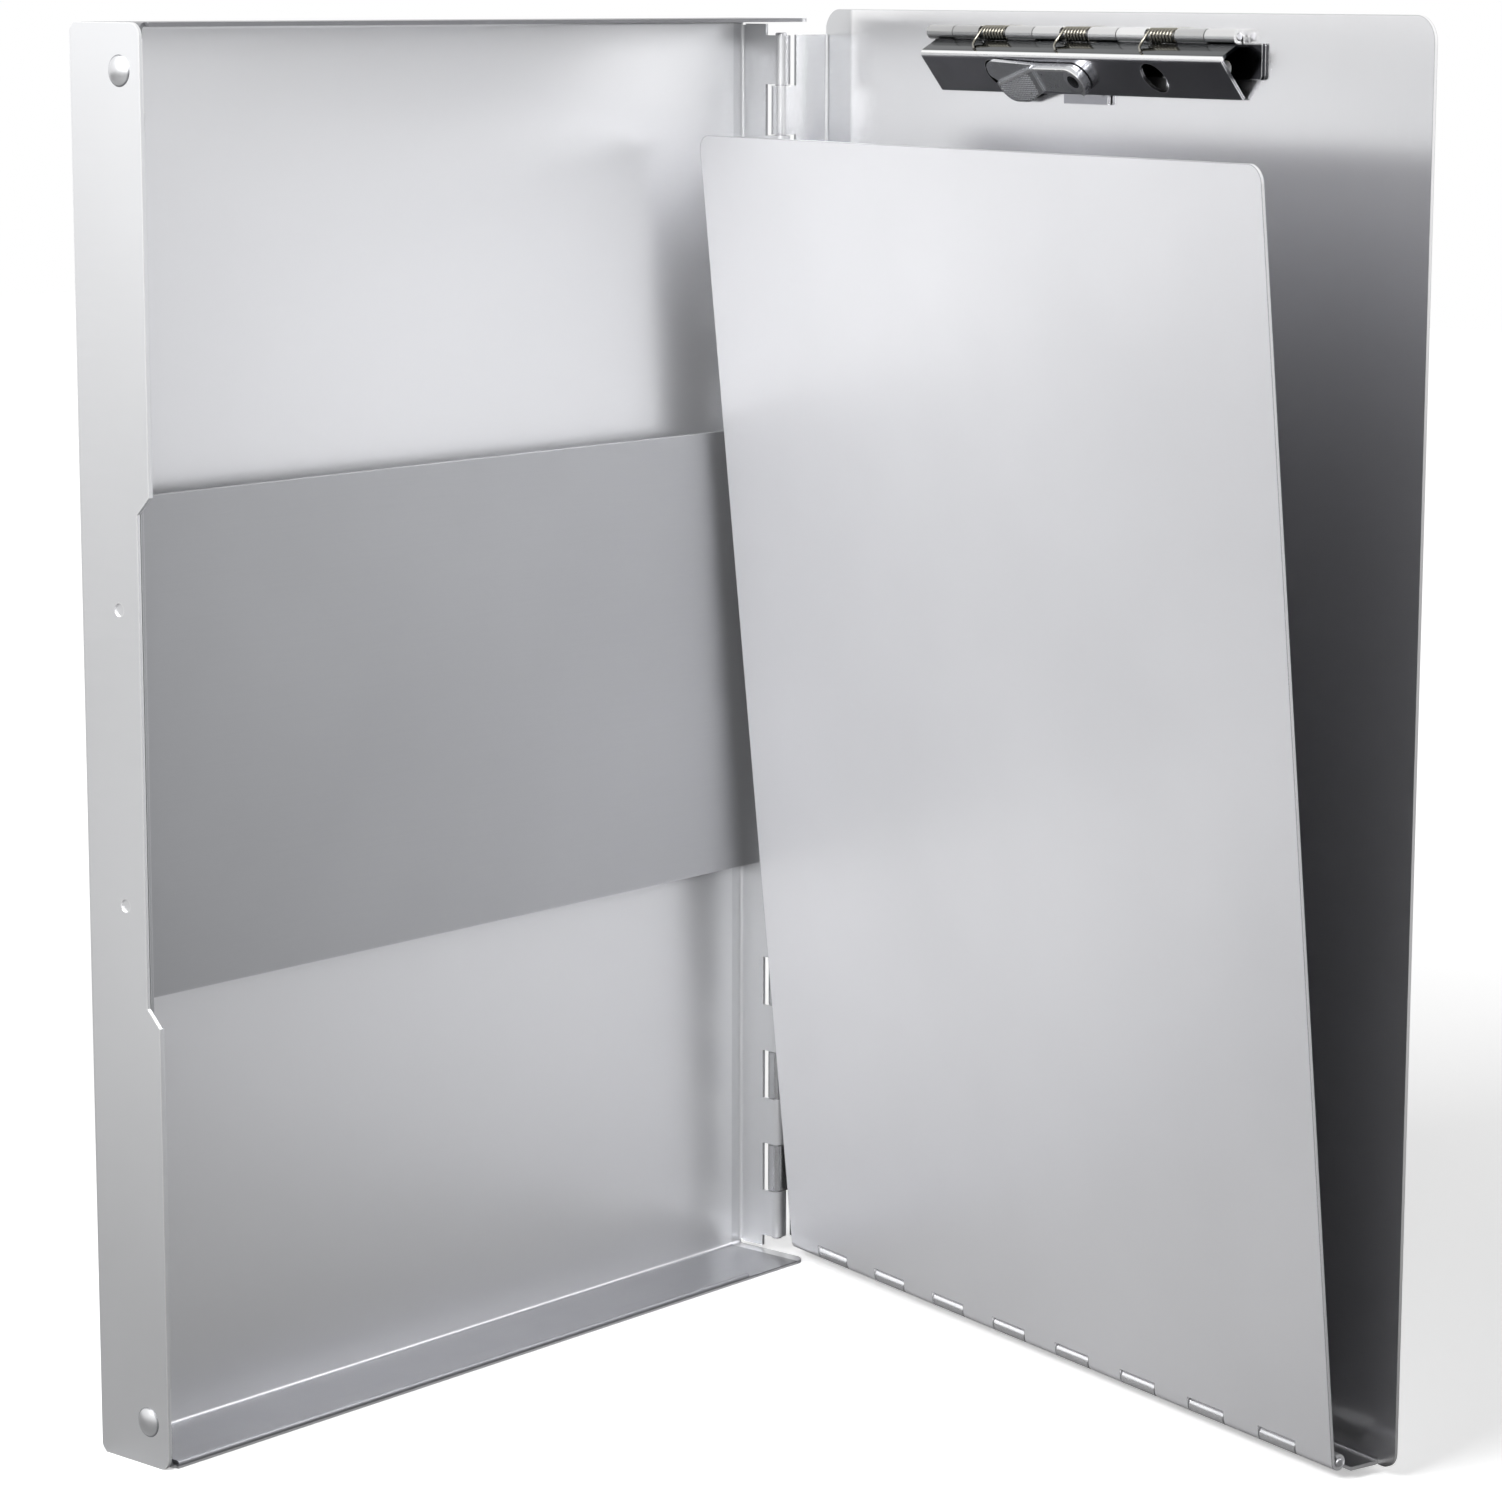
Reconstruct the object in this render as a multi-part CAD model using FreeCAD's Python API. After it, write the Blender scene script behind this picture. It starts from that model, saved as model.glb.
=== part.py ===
import FreeCAD
import Part
import math
import os

# Aluminium storage box for forms that opens like a book.
#
# A shallow folded tray stands on its bottom wall and carries a retaining band
# inside.  A flat cover hangs on a full-height pin hinge at the tray's right
# side.  A writing plate is hinged to the cover's bottom flange, and a sprung
# clip with a thumb lever is riveted to the top of the cover.
#
# Lengths are millimetres and angles are degrees.  The origin is the middle of
# the face that the tray stands on, +Z is up and the tray opens towards -Y.
# The cover, its plate and its clip are built in the closed position, with the
# cover lying over the tray, and are then swung open about the spine pin.

# Sheet and general clearances
SHEET = 0.9
BEND_RADIUS = 0.9
SEAM_GAP = 0.2
RUNNING_GAP = 0.05
KNUCKLE_END_GAP = 0.3
CURL_SWEEP = 295.0
CUT_OVERRUN = 5.0
ROUND_SHARE = 0.98
SMALLEST_EDGE = 0.001

# Tray
TRAY_WIDTH = 225.5
TRAY_DEPTH = 24.0
TRAY_HEIGHT = 326.0
TRAY_FRONT_ROUND = 3.0
TRAY_BACK_CHAMFER = 2.5
TRAY_FOLD_SLIT = 0.6
WALL_NOSE_RADIUS = 3.2
HEM_DEPTH = 5.0
HEM_END_INSET = 23.0
TAB_HEIGHT = 19.0
TAB_FRONT_INSET = 1.2
TAB_BACK_INSET = 3.0

# Spine hinge
SPINE_PIN_RADIUS = 1.5
SPINE_DEPTH = 12.3
SPINE_END_MARGIN = 4.25
SPINE_KNUCKLES = 25
SPINE_RELIEF = 0.6
PIN_END_REACH = 0.6

# Retaining band across the tray
BAND_HEIGHT = 115.0
BAND_BOTTOM = 106.3
BAND_SETBACK = 15.6
BAND_BACK_FLANGE = 6.0
NOTCH_DEPTH = 4.0
NOTCH_BOTTOM = 103.5
NOTCH_TOP = 223.0
CLINCH_RADIUS = 1.5
CLINCH_DEPTH = 0.4
CLINCH_FIT = 0.15
CLINCH_END_INSET = 24.0
CLINCH_SETBACK = 10.6

# Corner rivets of the tray
RIVET_HEAD_RADIUS = 3.5
RIVET_HEAD_HEIGHT = 1.2
RIVET_SHANK_RADIUS = 1.6
RIVET_TAIL_RADIUS = 2.5
RIVET_TAIL_HEIGHT = 0.8
RIVET_END_INSET = 10.4
RIVET_FRONT_INSET = 6.7

# Cover
COVER_REACH = 229.5
COVER_LIFT = 12.8
COVER_TOP_OVERHANG = 2.2
COVER_TOP_ROUND = 6.0
COVER_BOTTOM_ROUND = 4.0
COVER_FLANGE_START = 4.6
COVER_FLANGE_END = 224.0

# Lower hinge and writing plate
LOWER_PIN_RADIUS = 1.0
LOWER_RELIEF = 0.3
LOWER_KNUCKLES = 17
LOWER_PIN_HEIGHT = 4.1
LOWER_PIN_BACK = 2.4
PLATE_END_MARGIN = 1.75
PLATE_RISE = 294.6
PLATE_CORNER = 4.0

# Clip on the cover
CLIP_SHEET = 0.8
CLIP_CENTRE = 109.0
CLIP_AXIS_DROP = 3.05
CLIP_PIN_RADIUS = 0.9
CLIP_STANDOFF = 0.3
CLIP_SPANS = 11
CLIP_BARREL_LENGTH = 117.2
CLIP_SPRING_SPANS = (2, 5, 8)
CLIP_JAW_SPANS = (1, 3, 7, 9)
CLIP_BASE_END = 6.6
CLIP_BASE_END_DROP = 1.4
CLIP_BASE_BELOW_AXIS = 9.6
CLIP_BASE_CORNER = 1.0
CLIP_SPAN_RELIEF = 0.5
SPRING_SLOT_DEPTH = 6.6
JAW_WIDTH = 114.3
JAW_OFFSET = 1.75
JAW_RIDGE_OUT = 5.72
JAW_RIDGE_DROP = 4.97
JAW_LIP_DROP = 13.95
JAW_LIP_GAP = 0.35
JAW_BEND_RADIUS = 0.5
JAW_HOLE_RADIUS = 4.2
JAW_HOLE_OFFSET = 29.8
FOOT_WIDTH = 16.8
FOOT_LENGTH = 2.5
FOOT_LAP = 1.2
BASE_RIVET_INSET = 5.7
BASE_RIVET_DROP = 7.15
BASE_RIVET_HEAD_RADIUS = 1.8
BASE_RIVET_HEAD_HEIGHT = 0.7
BASE_RIVET_SHANK_RADIUS = 0.9
BASE_RIVET_OUTER_HEIGHT = 0.5

# Clip springs
SPRING_WIRE_RADIUS = 0.33
SPRING_COIL_RADIUS = 1.5
SPRING_TURNS = 7
SPRING_END_GAP = 0.45
SPRING_DROP_ANGLE = 25.0
SPRING_LEG_START = 4.9
SPRING_LEG_END = 6.7
SPRING_LEG_DRIFT = 2.4
SPRING_SEAT_GAP = 0.1
SPRING_HEEL_START = 1.5
SPRING_HEEL_END = 5.2
SPRING_STEPS_PER_TURN = 2
SPRING_CHECK_STEPS = 12

# Thumb lever
LEVER_SHEET = 0.9
LEVER_GAP = 0.3
LEVER_PIVOT_OFFSET = 0.95
LEVER_PIVOT_DROP = 0.4
LEVER_BOSS_RADIUS = 4.25
LEVER_BOSS_LOWER_RADIUS = 4.0
LEVER_KNEE = 12.1
LEVER_NECK = 13.9
LEVER_NECK_DROP = 3.4
LEVER_NECK_RADIUS = 2.0
LEVER_PAD_START = 21.5
LEVER_PAD_END = 30.3
LEVER_PAD_TIP = 28.3
LEVER_PAD_TIP_DROP = 0.8
LEVER_PAD_DROP = 6.6
LEVER_PAD_RADIUS = 4.0
LEVER_PAD_HEEL_RADIUS = 2.5
LEVER_PAD_RAISE = 0.6
LEVER_WING_END = 32.4
LEVER_WING_RISE = 5.4
LEVER_WING_RADIUS = 4.0
LEVER_RIM_HEIGHT = 1.4
LEVER_RIM_SHEET = 0.6
LEVER_RIM_SWEEP = 150.0
LEVER_BORE_RADIUS = 2.3
EYELET_RADIUS = 2.25
EYELET_BORE_RADIUS = 1.8
EYELET_RIM_RADIUS = 3.1
EYELET_RIM_HEIGHT = 0.6

# Pose in which the part is built
OPEN_ANGLE = 75.0
PLATE_TILT = 5.8

# Values that follow from the ones above
SPINE_BARREL = SPINE_PIN_RADIUS + RUNNING_GAP + SHEET
LOWER_BARREL = LOWER_PIN_RADIUS + RUNNING_GAP + SHEET
CLIP_BARREL = CLIP_PIN_RADIUS + RUNNING_GAP + CLIP_SHEET
LEFT_FACE = -TRAY_WIDTH / 2
RIGHT_FACE = TRAY_WIDTH / 2
FRONT_FACE = -TRAY_DEPTH / 2
BACK_FACE = TRAY_DEPTH / 2
SPINE_X = RIGHT_FACE - SHEET + SPINE_BARREL
SPINE_Y = FRONT_FACE + SPINE_DEPTH
SPINE_BOTTOM = SPINE_END_MARGIN
SPINE_TOP = TRAY_HEIGHT - SPINE_END_MARGIN
SPINE_PITCH = (SPINE_TOP - SPINE_BOTTOM) / SPINE_KNUCKLES
COVER_FACE_Y = SPINE_Y - COVER_LIFT
COVER_TOP = TRAY_HEIGHT + COVER_TOP_OVERHANG
LOWER_PIN_Y = SPINE_Y - LOWER_PIN_BACK
FLANGE_BOTTOM = LOWER_PIN_HEIGHT - LOWER_BARREL
PLATE_START = COVER_FLANGE_START + PLATE_END_MARGIN
PLATE_END = COVER_FLANGE_END - PLATE_END_MARGIN
LOWER_PITCH = (PLATE_END - PLATE_START) / LOWER_KNUCKLES
CLIP_BASE_SHEET = CLIP_STANDOFF + CLIP_SHEET
CLIP_AXIS_Y = COVER_FACE_Y + CLIP_STANDOFF + CLIP_BARREL
CLIP_AXIS_Z = TRAY_HEIGHT - CLIP_AXIS_DROP
CLIP_START = CLIP_CENTRE - CLIP_BARREL_LENGTH / 2
CLIP_SPAN = CLIP_BARREL_LENGTH / CLIP_SPANS
JAW_CENTRE = CLIP_CENTRE + JAW_OFFSET
BAND_FACE_Y = FRONT_FACE + BAND_SETBACK
BAND_TOP = BAND_BOTTOM + BAND_HEIGHT
TAB_FACE = LEFT_FACE + SHEET + SEAM_GAP
END_WALL_START = TAB_FACE + SHEET + BEND_RADIUS

UP = FreeCAD.Vector(0, 0, 1)
ZERO = FreeCAD.Vector(0, 0, 0)


# Plane outlines

def flat(point):
    """A point of the drawing plane as a vector."""
    return FreeCAD.Vector(point[0], point[1], 0)


def turned(vector, degrees):
    """A plane vector turned anticlockwise about the drawing plane's normal."""
    angle = math.radians(degrees)
    x = vector.x * math.cos(angle) - vector.y * math.sin(angle)
    y = vector.x * math.sin(angle) + vector.y * math.cos(angle)
    return FreeCAD.Vector(x, y, 0)


def corner_edges(before, corner, after, radius):
    """Tangent points and arc that round one corner of an outline."""
    toward_before = (before - corner).normalize()
    toward_after = (after - corner).normalize()
    half = toward_before.getAngle(toward_after) / 2
    run = radius / math.tan(half)
    start = corner + toward_before * run
    end = corner + toward_after * run
    centre = corner + (toward_before + toward_after).normalize() * (radius / math.sin(half))
    middle = centre + (corner - centre).normalize() * radius
    return start, middle, end


def outline_face(corners):
    """A face bounded by straight runs, each corner (x, y, radius) rounded by its radius."""
    points = [flat(corner) for corner in corners]
    count = len(points)
    rounds = []
    for index, corner in enumerate(corners):
        if corner[2] > 0:
            rounds.append(corner_edges(points[index - 1], points[index],
                                       points[(index + 1) % count], corner[2]))
        else:
            rounds.append((points[index], None, points[index]))
    edges = []
    for index, (start, middle, end) in enumerate(rounds):
        if middle is not None:
            edges.append(Part.Arc(start, middle, end).toShape())
        following = rounds[(index + 1) % count][0]
        if (following - end).Length > SMALLEST_EDGE:
            edges.append(Part.LineSegment(end, following).toShape())
    return Part.Face(Part.Wire(edges))


def shifted_path(path, shift):
    """The open path moved to its left by shift, with mitred corners."""
    points = [flat(point) for point in path]
    moved = []
    for index, point in enumerate(points):
        sides = []
        if index > 0:
            sides.append(turned((point - points[index - 1]).normalize(), 90))
        if index < len(points) - 1:
            sides.append(turned((points[index + 1] - point).normalize(), 90))
        normal = sides[0] if len(sides) == 1 else (sides[0] + sides[1]).normalize()
        moved.append(point + normal * (shift / normal.dot(sides[0])))
    return moved


def sheet_face(path, sheet, bend_radius):
    """Section of a folded sheet whose middle follows the open path."""
    points = [flat(point) for point in path]
    inner_side = [0] * len(points)
    for index in range(1, len(points) - 1):
        turn = (points[index] - points[index - 1]).cross(points[index + 1] - points[index])
        inner_side[index] = 1 if turn.z > 0 else -1
    corners = []
    for side in (1, -1):
        row = []
        for point, inner in zip(shifted_path(path, side * sheet / 2), inner_side):
            radius = bend_radius if inner == side else bend_radius + sheet
            row.append((point.x, point.y, radius if inner else 0))
        corners.extend(row[::side])
    return outline_face(corners)


def curl_face(centre, start_angle, sweep, bore_radius, outer_radius):
    """Section of a sheet curled round a pin, from its start angle through its sweep."""
    def on_circle(radius, angle):
        return flat(centre) + turned(FreeCAD.Vector(radius, 0, 0), angle)
    end_angle = start_angle + sweep
    middle_angle = start_angle + sweep / 2
    outer = Part.Arc(on_circle(outer_radius, start_angle), on_circle(outer_radius, middle_angle),
                     on_circle(outer_radius, end_angle)).toShape()
    inner = Part.Arc(on_circle(bore_radius, start_angle), on_circle(bore_radius, middle_angle),
                     on_circle(bore_radius, end_angle)).toShape()
    first = Part.LineSegment(on_circle(bore_radius, start_angle), on_circle(outer_radius, start_angle)).toShape()
    last = Part.LineSegment(on_circle(bore_radius, end_angle), on_circle(outer_radius, end_angle)).toShape()
    return Part.Face(Part.Wire([outer, last, inner, first]))


# Extrusions of a drawn face in the three main directions

def along_z(face, bottom, top):
    """Extrude a plan section (x, y) from bottom to top."""
    solid = face.extrude(FreeCAD.Vector(0, 0, top - bottom))
    solid.translate(FreeCAD.Vector(0, 0, bottom))
    return solid


def along_x(face, start, end):
    """Extrude a side section (y, z) from start to end."""
    solid = face.extrude(FreeCAD.Vector(0, 0, end - start))
    turn = FreeCAD.Rotation(FreeCAD.Vector(1, 1, 1), 120)
    solid.Placement = FreeCAD.Placement(ZERO, turn)
    solid.translate(FreeCAD.Vector(start, 0, 0))
    return solid


def along_y(face, start, end):
    """Extrude a front section (x, z) from start to end."""
    solid = face.extrude(FreeCAD.Vector(0, 0, start - end))
    turn = FreeCAD.Rotation(FreeCAD.Vector(1, 0, 0), 90)
    solid.Placement = FreeCAD.Placement(ZERO, turn)
    solid.translate(FreeCAD.Vector(0, start, 0))
    return solid


def block(x_range, y_range, z_range):
    """A box between three pairs of limits."""
    size = (x_range[1] - x_range[0], y_range[1] - y_range[0], z_range[1] - z_range[0])
    return Part.makeBox(*size, FreeCAD.Vector(x_range[0], y_range[0], z_range[0]))


def rod(radius, start, end):
    """A cylinder between two points."""
    return Part.makeCylinder(radius, (end - start).Length, start, end - start)


def fused(shapes):
    """One clean solid from shapes that meet or overlap."""
    return shapes[0].multiFuse(shapes[1:]).removeSplitter()


def whole(shape):
    """The single solid of a shape."""
    solids = shape.Solids
    if len(solids) != 1:
        raise ValueError("expected one solid, found %d" % len(solids))
    return solids[0]


# Tray

def hem_outline(edge, depth, outside, inside):
    """Corners of a folded-over edge: flat sides, with a round nose at the edge."""
    nose = ROUND_SHARE * abs(inside - outside) / 2
    return [(edge, outside, nose), (edge + depth, outside, 0),
            (edge + depth, inside, 0), (edge, inside, nose)]


def tray_sides():
    """Outer wall, back panel and hinge wall in one strip, trimmed where other walls take over."""
    half = SHEET / 2
    plan = [(LEFT_FACE + half, FRONT_FACE), (LEFT_FACE + half, BACK_FACE - half),
            (RIGHT_FACE - half, BACK_FACE - half), (RIGHT_FACE - half, SPINE_Y)]
    strip = along_z(sheet_face(plan, SHEET, BEND_RADIUS), 0, TRAY_HEIGHT)
    bend = SHEET + BEND_RADIUS
    slit = SHEET + TRAY_FOLD_SLIT
    back = (BACK_FACE - bend, BACK_FACE + CUT_OVERRUN)
    every = (FRONT_FACE - CUT_OVERRUN, BACK_FACE + CUT_OVERRUN)
    across_back = (END_WALL_START, RIGHT_FACE + CUT_OVERRUN)
    hinge_wall = (RIGHT_FACE - SHEET, RIGHT_FACE + CUT_OVERRUN)
    high = TRAY_HEIGHT + CUT_OVERRUN
    cuts = [block(across_back, back, (-CUT_OVERRUN, bend)),
            block(across_back, back, (TRAY_HEIGHT - bend, high)),
            block(hinge_wall, every, (-CUT_OVERRUN, slit)),
            block(hinge_wall, every, (TRAY_HEIGHT - slit, high))]
    return strip.cut(cuts + hinge_wall_windows())


def hinge_wall_windows():
    """Gaps in the hinge wall's edge, at the cover's barrels and beyond the last ones."""
    x_range = (RIGHT_FACE - SHEET - SEAM_GAP, RIGHT_FACE + CUT_OVERRUN)
    y_range = (FRONT_FACE - CUT_OVERRUN, SPINE_Y + SPINE_BARREL + SPINE_RELIEF)
    cuts = [block(x_range, y_range, (SPINE_TOP - KNUCKLE_END_GAP / 2, TRAY_HEIGHT + CUT_OVERRUN)),
            block(x_range, y_range, (-CUT_OVERRUN, SPINE_BOTTOM + KNUCKLE_END_GAP / 2))]
    for index in range(1, SPINE_KNUCKLES, 2):
        cuts.append(block(x_range, y_range, spine_window(index)))
    return cuts


def spine_window(index):
    """Heights of the gap that one leaf leaves for the other leaf's barrel."""
    bottom = SPINE_BOTTOM + index * SPINE_PITCH
    return bottom - KNUCKLE_END_GAP / 2, bottom + SPINE_PITCH + KNUCKLE_END_GAP / 2


def spine_barrels(first, start_angle):
    """Curled barrels on the spine pin at every second place, counted from first."""
    face = curl_face((SPINE_X, SPINE_Y), start_angle, CURL_SWEEP,
                     SPINE_PIN_RADIUS + RUNNING_GAP, SPINE_BARREL)
    barrels = []
    for index in range(first, SPINE_KNUCKLES, 2):
        bottom = SPINE_BOTTOM + index * SPINE_PITCH + KNUCKLE_END_GAP / 2
        barrels.append(along_z(face, bottom, bottom + SPINE_PITCH - KNUCKLE_END_GAP))
    return barrels


def tray_end_walls():
    """Bottom and top walls, joined by the back panel, up to the bends of their tabs."""
    half = SHEET / 2
    profile = [(FRONT_FACE, half), (BACK_FACE - half, half),
               (BACK_FACE - half, TRAY_HEIGHT - half), (FRONT_FACE, TRAY_HEIGHT - half)]
    return along_x(sheet_face(profile, SHEET, BEND_RADIUS), END_WALL_START, RIGHT_FACE - SHEET)


def tray_tabs():
    """Tabs of the bottom and top walls that lie behind the outer wall."""
    front = FRONT_FACE + TAB_FRONT_INSET
    back = BACK_FACE - SHEET - TAB_BACK_INSET
    half = SHEET / 2
    reach = TAB_FACE + TAB_HEIGHT
    lower = [(TAB_FACE + half, TAB_HEIGHT), (TAB_FACE + half, half), (reach, half)]
    upper = [(TAB_FACE + half, TRAY_HEIGHT - TAB_HEIGHT), (TAB_FACE + half, TRAY_HEIGHT - half),
             (reach, TRAY_HEIGHT - half)]
    return [along_y(sheet_face(path, SHEET, BEND_RADIUS), front, back) for path in (lower, upper)]


def tray_hems():
    """The folded-over front edges of the outer wall and of the bottom wall."""
    side = hem_outline(FRONT_FACE, HEM_DEPTH, LEFT_FACE, LEFT_FACE + 2 * SHEET)
    side_face = outline_face([(inside, depth, radius) for depth, inside, radius in side])
    side_hem = along_z(side_face, TAB_HEIGHT + SEAM_GAP, TRAY_HEIGHT - TAB_HEIGHT - SEAM_GAP)
    bottom_face = outline_face(hem_outline(FRONT_FACE, HEM_DEPTH, 0, 2 * SHEET))
    start = END_WALL_START + SEAM_GAP
    return [side_hem, along_x(bottom_face, start, RIGHT_FACE - SHEET - HEM_END_INSET)]


def band_notch():
    """The cut in the outer wall's front edge that shows the band, with slanted ends."""
    inner = FRONT_FACE + NOTCH_DEPTH
    front = FRONT_FACE - CUT_OVERRUN
    outline = [(front, NOTCH_BOTTOM - CUT_OVERRUN, 0), (inner, NOTCH_BOTTOM + NOTCH_DEPTH, 0),
               (inner, NOTCH_TOP - NOTCH_DEPTH, 0), (front, NOTCH_TOP + CUT_OVERRUN, 0)]
    wall_cut = along_x(outline_face(outline), LEFT_FACE - CUT_OVERRUN, LEFT_FACE + SHEET)
    hem_cut = block((LEFT_FACE + SHEET, LEFT_FACE + 2 * SHEET + SEAM_GAP),
                    (front, FRONT_FACE + HEM_DEPTH + SEAM_GAP), (NOTCH_BOTTOM, NOTCH_TOP))
    return [wall_cut, hem_cut]


def outer_wall_corners():
    """What is cut from the outer wall's corners: rounds in front and chamfers behind."""
    x_range = (LEFT_FACE - CUT_OVERRUN, LEFT_FACE + SHEET)
    cuts = []
    for level, inward in ((0, 1), (TRAY_HEIGHT, -1)):
        corner = Part.makeBox(SHEET + CUT_OVERRUN, TRAY_FRONT_ROUND, TRAY_FRONT_ROUND)
        low = level if inward > 0 else level - TRAY_FRONT_ROUND
        corner.translate(FreeCAD.Vector(x_range[0], FRONT_FACE, low))
        centre = FreeCAD.Vector(x_range[0] - CUT_OVERRUN, FRONT_FACE + TRAY_FRONT_ROUND,
                                level + inward * TRAY_FRONT_ROUND)
        round_off = rod(TRAY_FRONT_ROUND, centre, centre + FreeCAD.Vector(3 * CUT_OVERRUN, 0, 0))
        cuts.append(corner.cut(round_off))
        outline = [(BACK_FACE - TRAY_BACK_CHAMFER, level, 0),
                   (BACK_FACE + CUT_OVERRUN, level + inward * (TRAY_BACK_CHAMFER + CUT_OVERRUN), 0),
                   (BACK_FACE + CUT_OVERRUN, level - inward * CUT_OVERRUN, 0),
                   (BACK_FACE - TRAY_BACK_CHAMFER, level - inward * CUT_OVERRUN, 0)]
        cuts.append(along_x(outline_face(outline), x_range[0], END_WALL_START))
    return cuts


def wall_nose_cut(level):
    """The corner taken off a top or bottom wall in front, beside the spine."""
    right = RIGHT_FACE - SHEET
    low = level - CUT_OVERRUN
    corner = block((right - WALL_NOSE_RADIUS, right + CUT_OVERRUN),
                   (FRONT_FACE - CUT_OVERRUN, FRONT_FACE + WALL_NOSE_RADIUS),
                   (low, level + CUT_OVERRUN))
    centre = FreeCAD.Vector(right - WALL_NOSE_RADIUS, FRONT_FACE + WALL_NOSE_RADIUS, low - CUT_OVERRUN)
    return corner.cut(rod(WALL_NOSE_RADIUS, centre, centre + UP * (4 * CUT_OVERRUN)))


def clinch_places():
    """Centres of the two clinched dimples that join the band to the outer wall."""
    y = FRONT_FACE + CLINCH_SETBACK
    return [(y, BAND_BOTTOM + CLINCH_END_INSET), (y, BAND_TOP - CLINCH_END_INSET)]


def rivet_places():
    """Centres of the corner rivets on the outer wall, lower then upper."""
    y = FRONT_FACE + RIVET_FRONT_INSET
    return [(y, RIVET_END_INSET), (y, TRAY_HEIGHT - RIVET_END_INSET)]


def tray_shell():
    """The whole folded tray with its hinge barrels, hems, tabs and dimples."""
    pieces = [tray_sides(), tray_end_walls()] + tray_hems() + tray_tabs() + spine_barrels(0, 180)
    cuts = band_notch() + outer_wall_corners() + [wall_nose_cut(0), wall_nose_cut(TRAY_HEIGHT)]
    for y, z in rivet_places():
        start = FreeCAD.Vector(LEFT_FACE - CUT_OVERRUN, y, z)
        cuts.append(rod(RIVET_SHANK_RADIUS + RUNNING_GAP, start,
                        start + FreeCAD.Vector(3 * CUT_OVERRUN, 0, 0)))
    bosses = []
    for y, z in clinch_places():
        outside = FreeCAD.Vector(LEFT_FACE, y, z)
        recess = outside + FreeCAD.Vector(CLINCH_DEPTH, 0, 0)
        cuts.append(rod(CLINCH_RADIUS, outside - FreeCAD.Vector(CUT_OVERRUN, 0, 0), recess))
        tip = FreeCAD.Vector(TAB_FACE + SHEET, y, z)
        bosses.append(rod(CLINCH_RADIUS - CLINCH_FIT, recess, tip))
    return whole(fused([fused(pieces).cut(cuts)] + bosses))


def dome(radius, height, base, direction):
    """A shallow round head that rises from its base along the direction."""
    sphere_radius = (radius ** 2 + height ** 2) / (2 * height)
    centre = base + direction * (height - sphere_radius)
    ball = Part.makeSphere(sphere_radius, centre)
    return ball.common(rod(radius, base, base + direction * (2 * height)))


def corner_rivet(place):
    """A round-head rivet through the outer wall and the tab behind it."""
    y, z = place
    face = FreeCAD.Vector(LEFT_FACE, y, z)
    tail = face + FreeCAD.Vector(2 * SHEET + SEAM_GAP, 0, 0)
    outward = FreeCAD.Vector(-1, 0, 0)
    parts = [dome(RIVET_HEAD_RADIUS, RIVET_HEAD_HEIGHT, face, outward),
             rod(RIVET_SHANK_RADIUS, face, tail),
             dome(RIVET_TAIL_RADIUS, RIVET_TAIL_HEIGHT, tail, -outward)]
    return whole(fused(parts))


def cross_band():
    """The wide band across the tray, with a flange forward at the left and back at the right."""
    left = TAB_FACE + SHEET / 2
    right = RIGHT_FACE - SHEET - SEAM_GAP - SHEET / 2
    middle = BAND_FACE_Y + SHEET / 2
    path = [(left, FRONT_FACE + NOTCH_DEPTH), (left, middle), (right, middle),
            (right, middle + BAND_BACK_FLANGE)]
    band = along_z(sheet_face(path, SHEET, BEND_RADIUS), BAND_BOTTOM, BAND_TOP)
    for y, z in clinch_places():
        start = FreeCAD.Vector(LEFT_FACE, y, z)
        band = band.cut(rod(CLINCH_RADIUS, start, start + FreeCAD.Vector(CUT_OVERRUN, 0, 0)))
    return whole(band)


def domed_pin(radius, start, end):
    """A hinge pin with slightly rounded ends."""
    pin = rod(radius, start, end)
    return whole(pin.makeFillet(radius / 3, [edge for edge in pin.Edges if edge.Closed]))


def spine_pin():
    """The long pin of the spine hinge."""
    foot = FreeCAD.Vector(SPINE_X, SPINE_Y, SPINE_BOTTOM - PIN_END_REACH)
    head = FreeCAD.Vector(SPINE_X, SPINE_Y, SPINE_TOP + PIN_END_REACH)
    return domed_pin(SPINE_PIN_RADIUS, foot, head)


# Cover, drawn closed: a length along the cover runs from the spine towards -X

def across(reach):
    """World X of a length measured along the closed cover from the spine pin."""
    return SPINE_X - reach


def cover_plate_and_spine():
    """The cover's plate with its spine flange, trimmed at the tray's barrels."""
    half = SHEET / 2
    flange_x = SPINE_X - SPINE_BARREL + half
    path = [(flange_x, SPINE_Y), (flange_x, COVER_FACE_Y - half),
            (across(COVER_REACH), COVER_FACE_Y - half)]
    folded = along_z(sheet_face(path, SHEET, BEND_RADIUS), FLANGE_BOTTOM, COVER_TOP)
    x_range = (flange_x - half - BEND_RADIUS, SPINE_X + CUT_OVERRUN)
    edge = SPINE_Y - SPINE_BARREL - SPINE_RELIEF
    far = SPINE_Y + CUT_OVERRUN
    cuts = [block(x_range, (COVER_FACE_Y, far), (SPINE_TOP, COVER_TOP + CUT_OVERRUN)),
            block(x_range, (COVER_FACE_Y, far), (FLANGE_BOTTOM - CUT_OVERRUN, SPINE_BOTTOM))]
    for index in range(0, SPINE_KNUCKLES, 2):
        cuts.append(block(x_range, (edge, far), spine_window(index)))
    return folded.cut(cuts)


def lower_places(first):
    """Start and end along the cover of every second lower barrel, counted from first."""
    places = []
    for index in range(first, LOWER_KNUCKLES, 2):
        start = PLATE_START + index * LOWER_PITCH + KNUCKLE_END_GAP / 2
        places.append((start, start + LOWER_PITCH - KNUCKLE_END_GAP))
    return places


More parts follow.
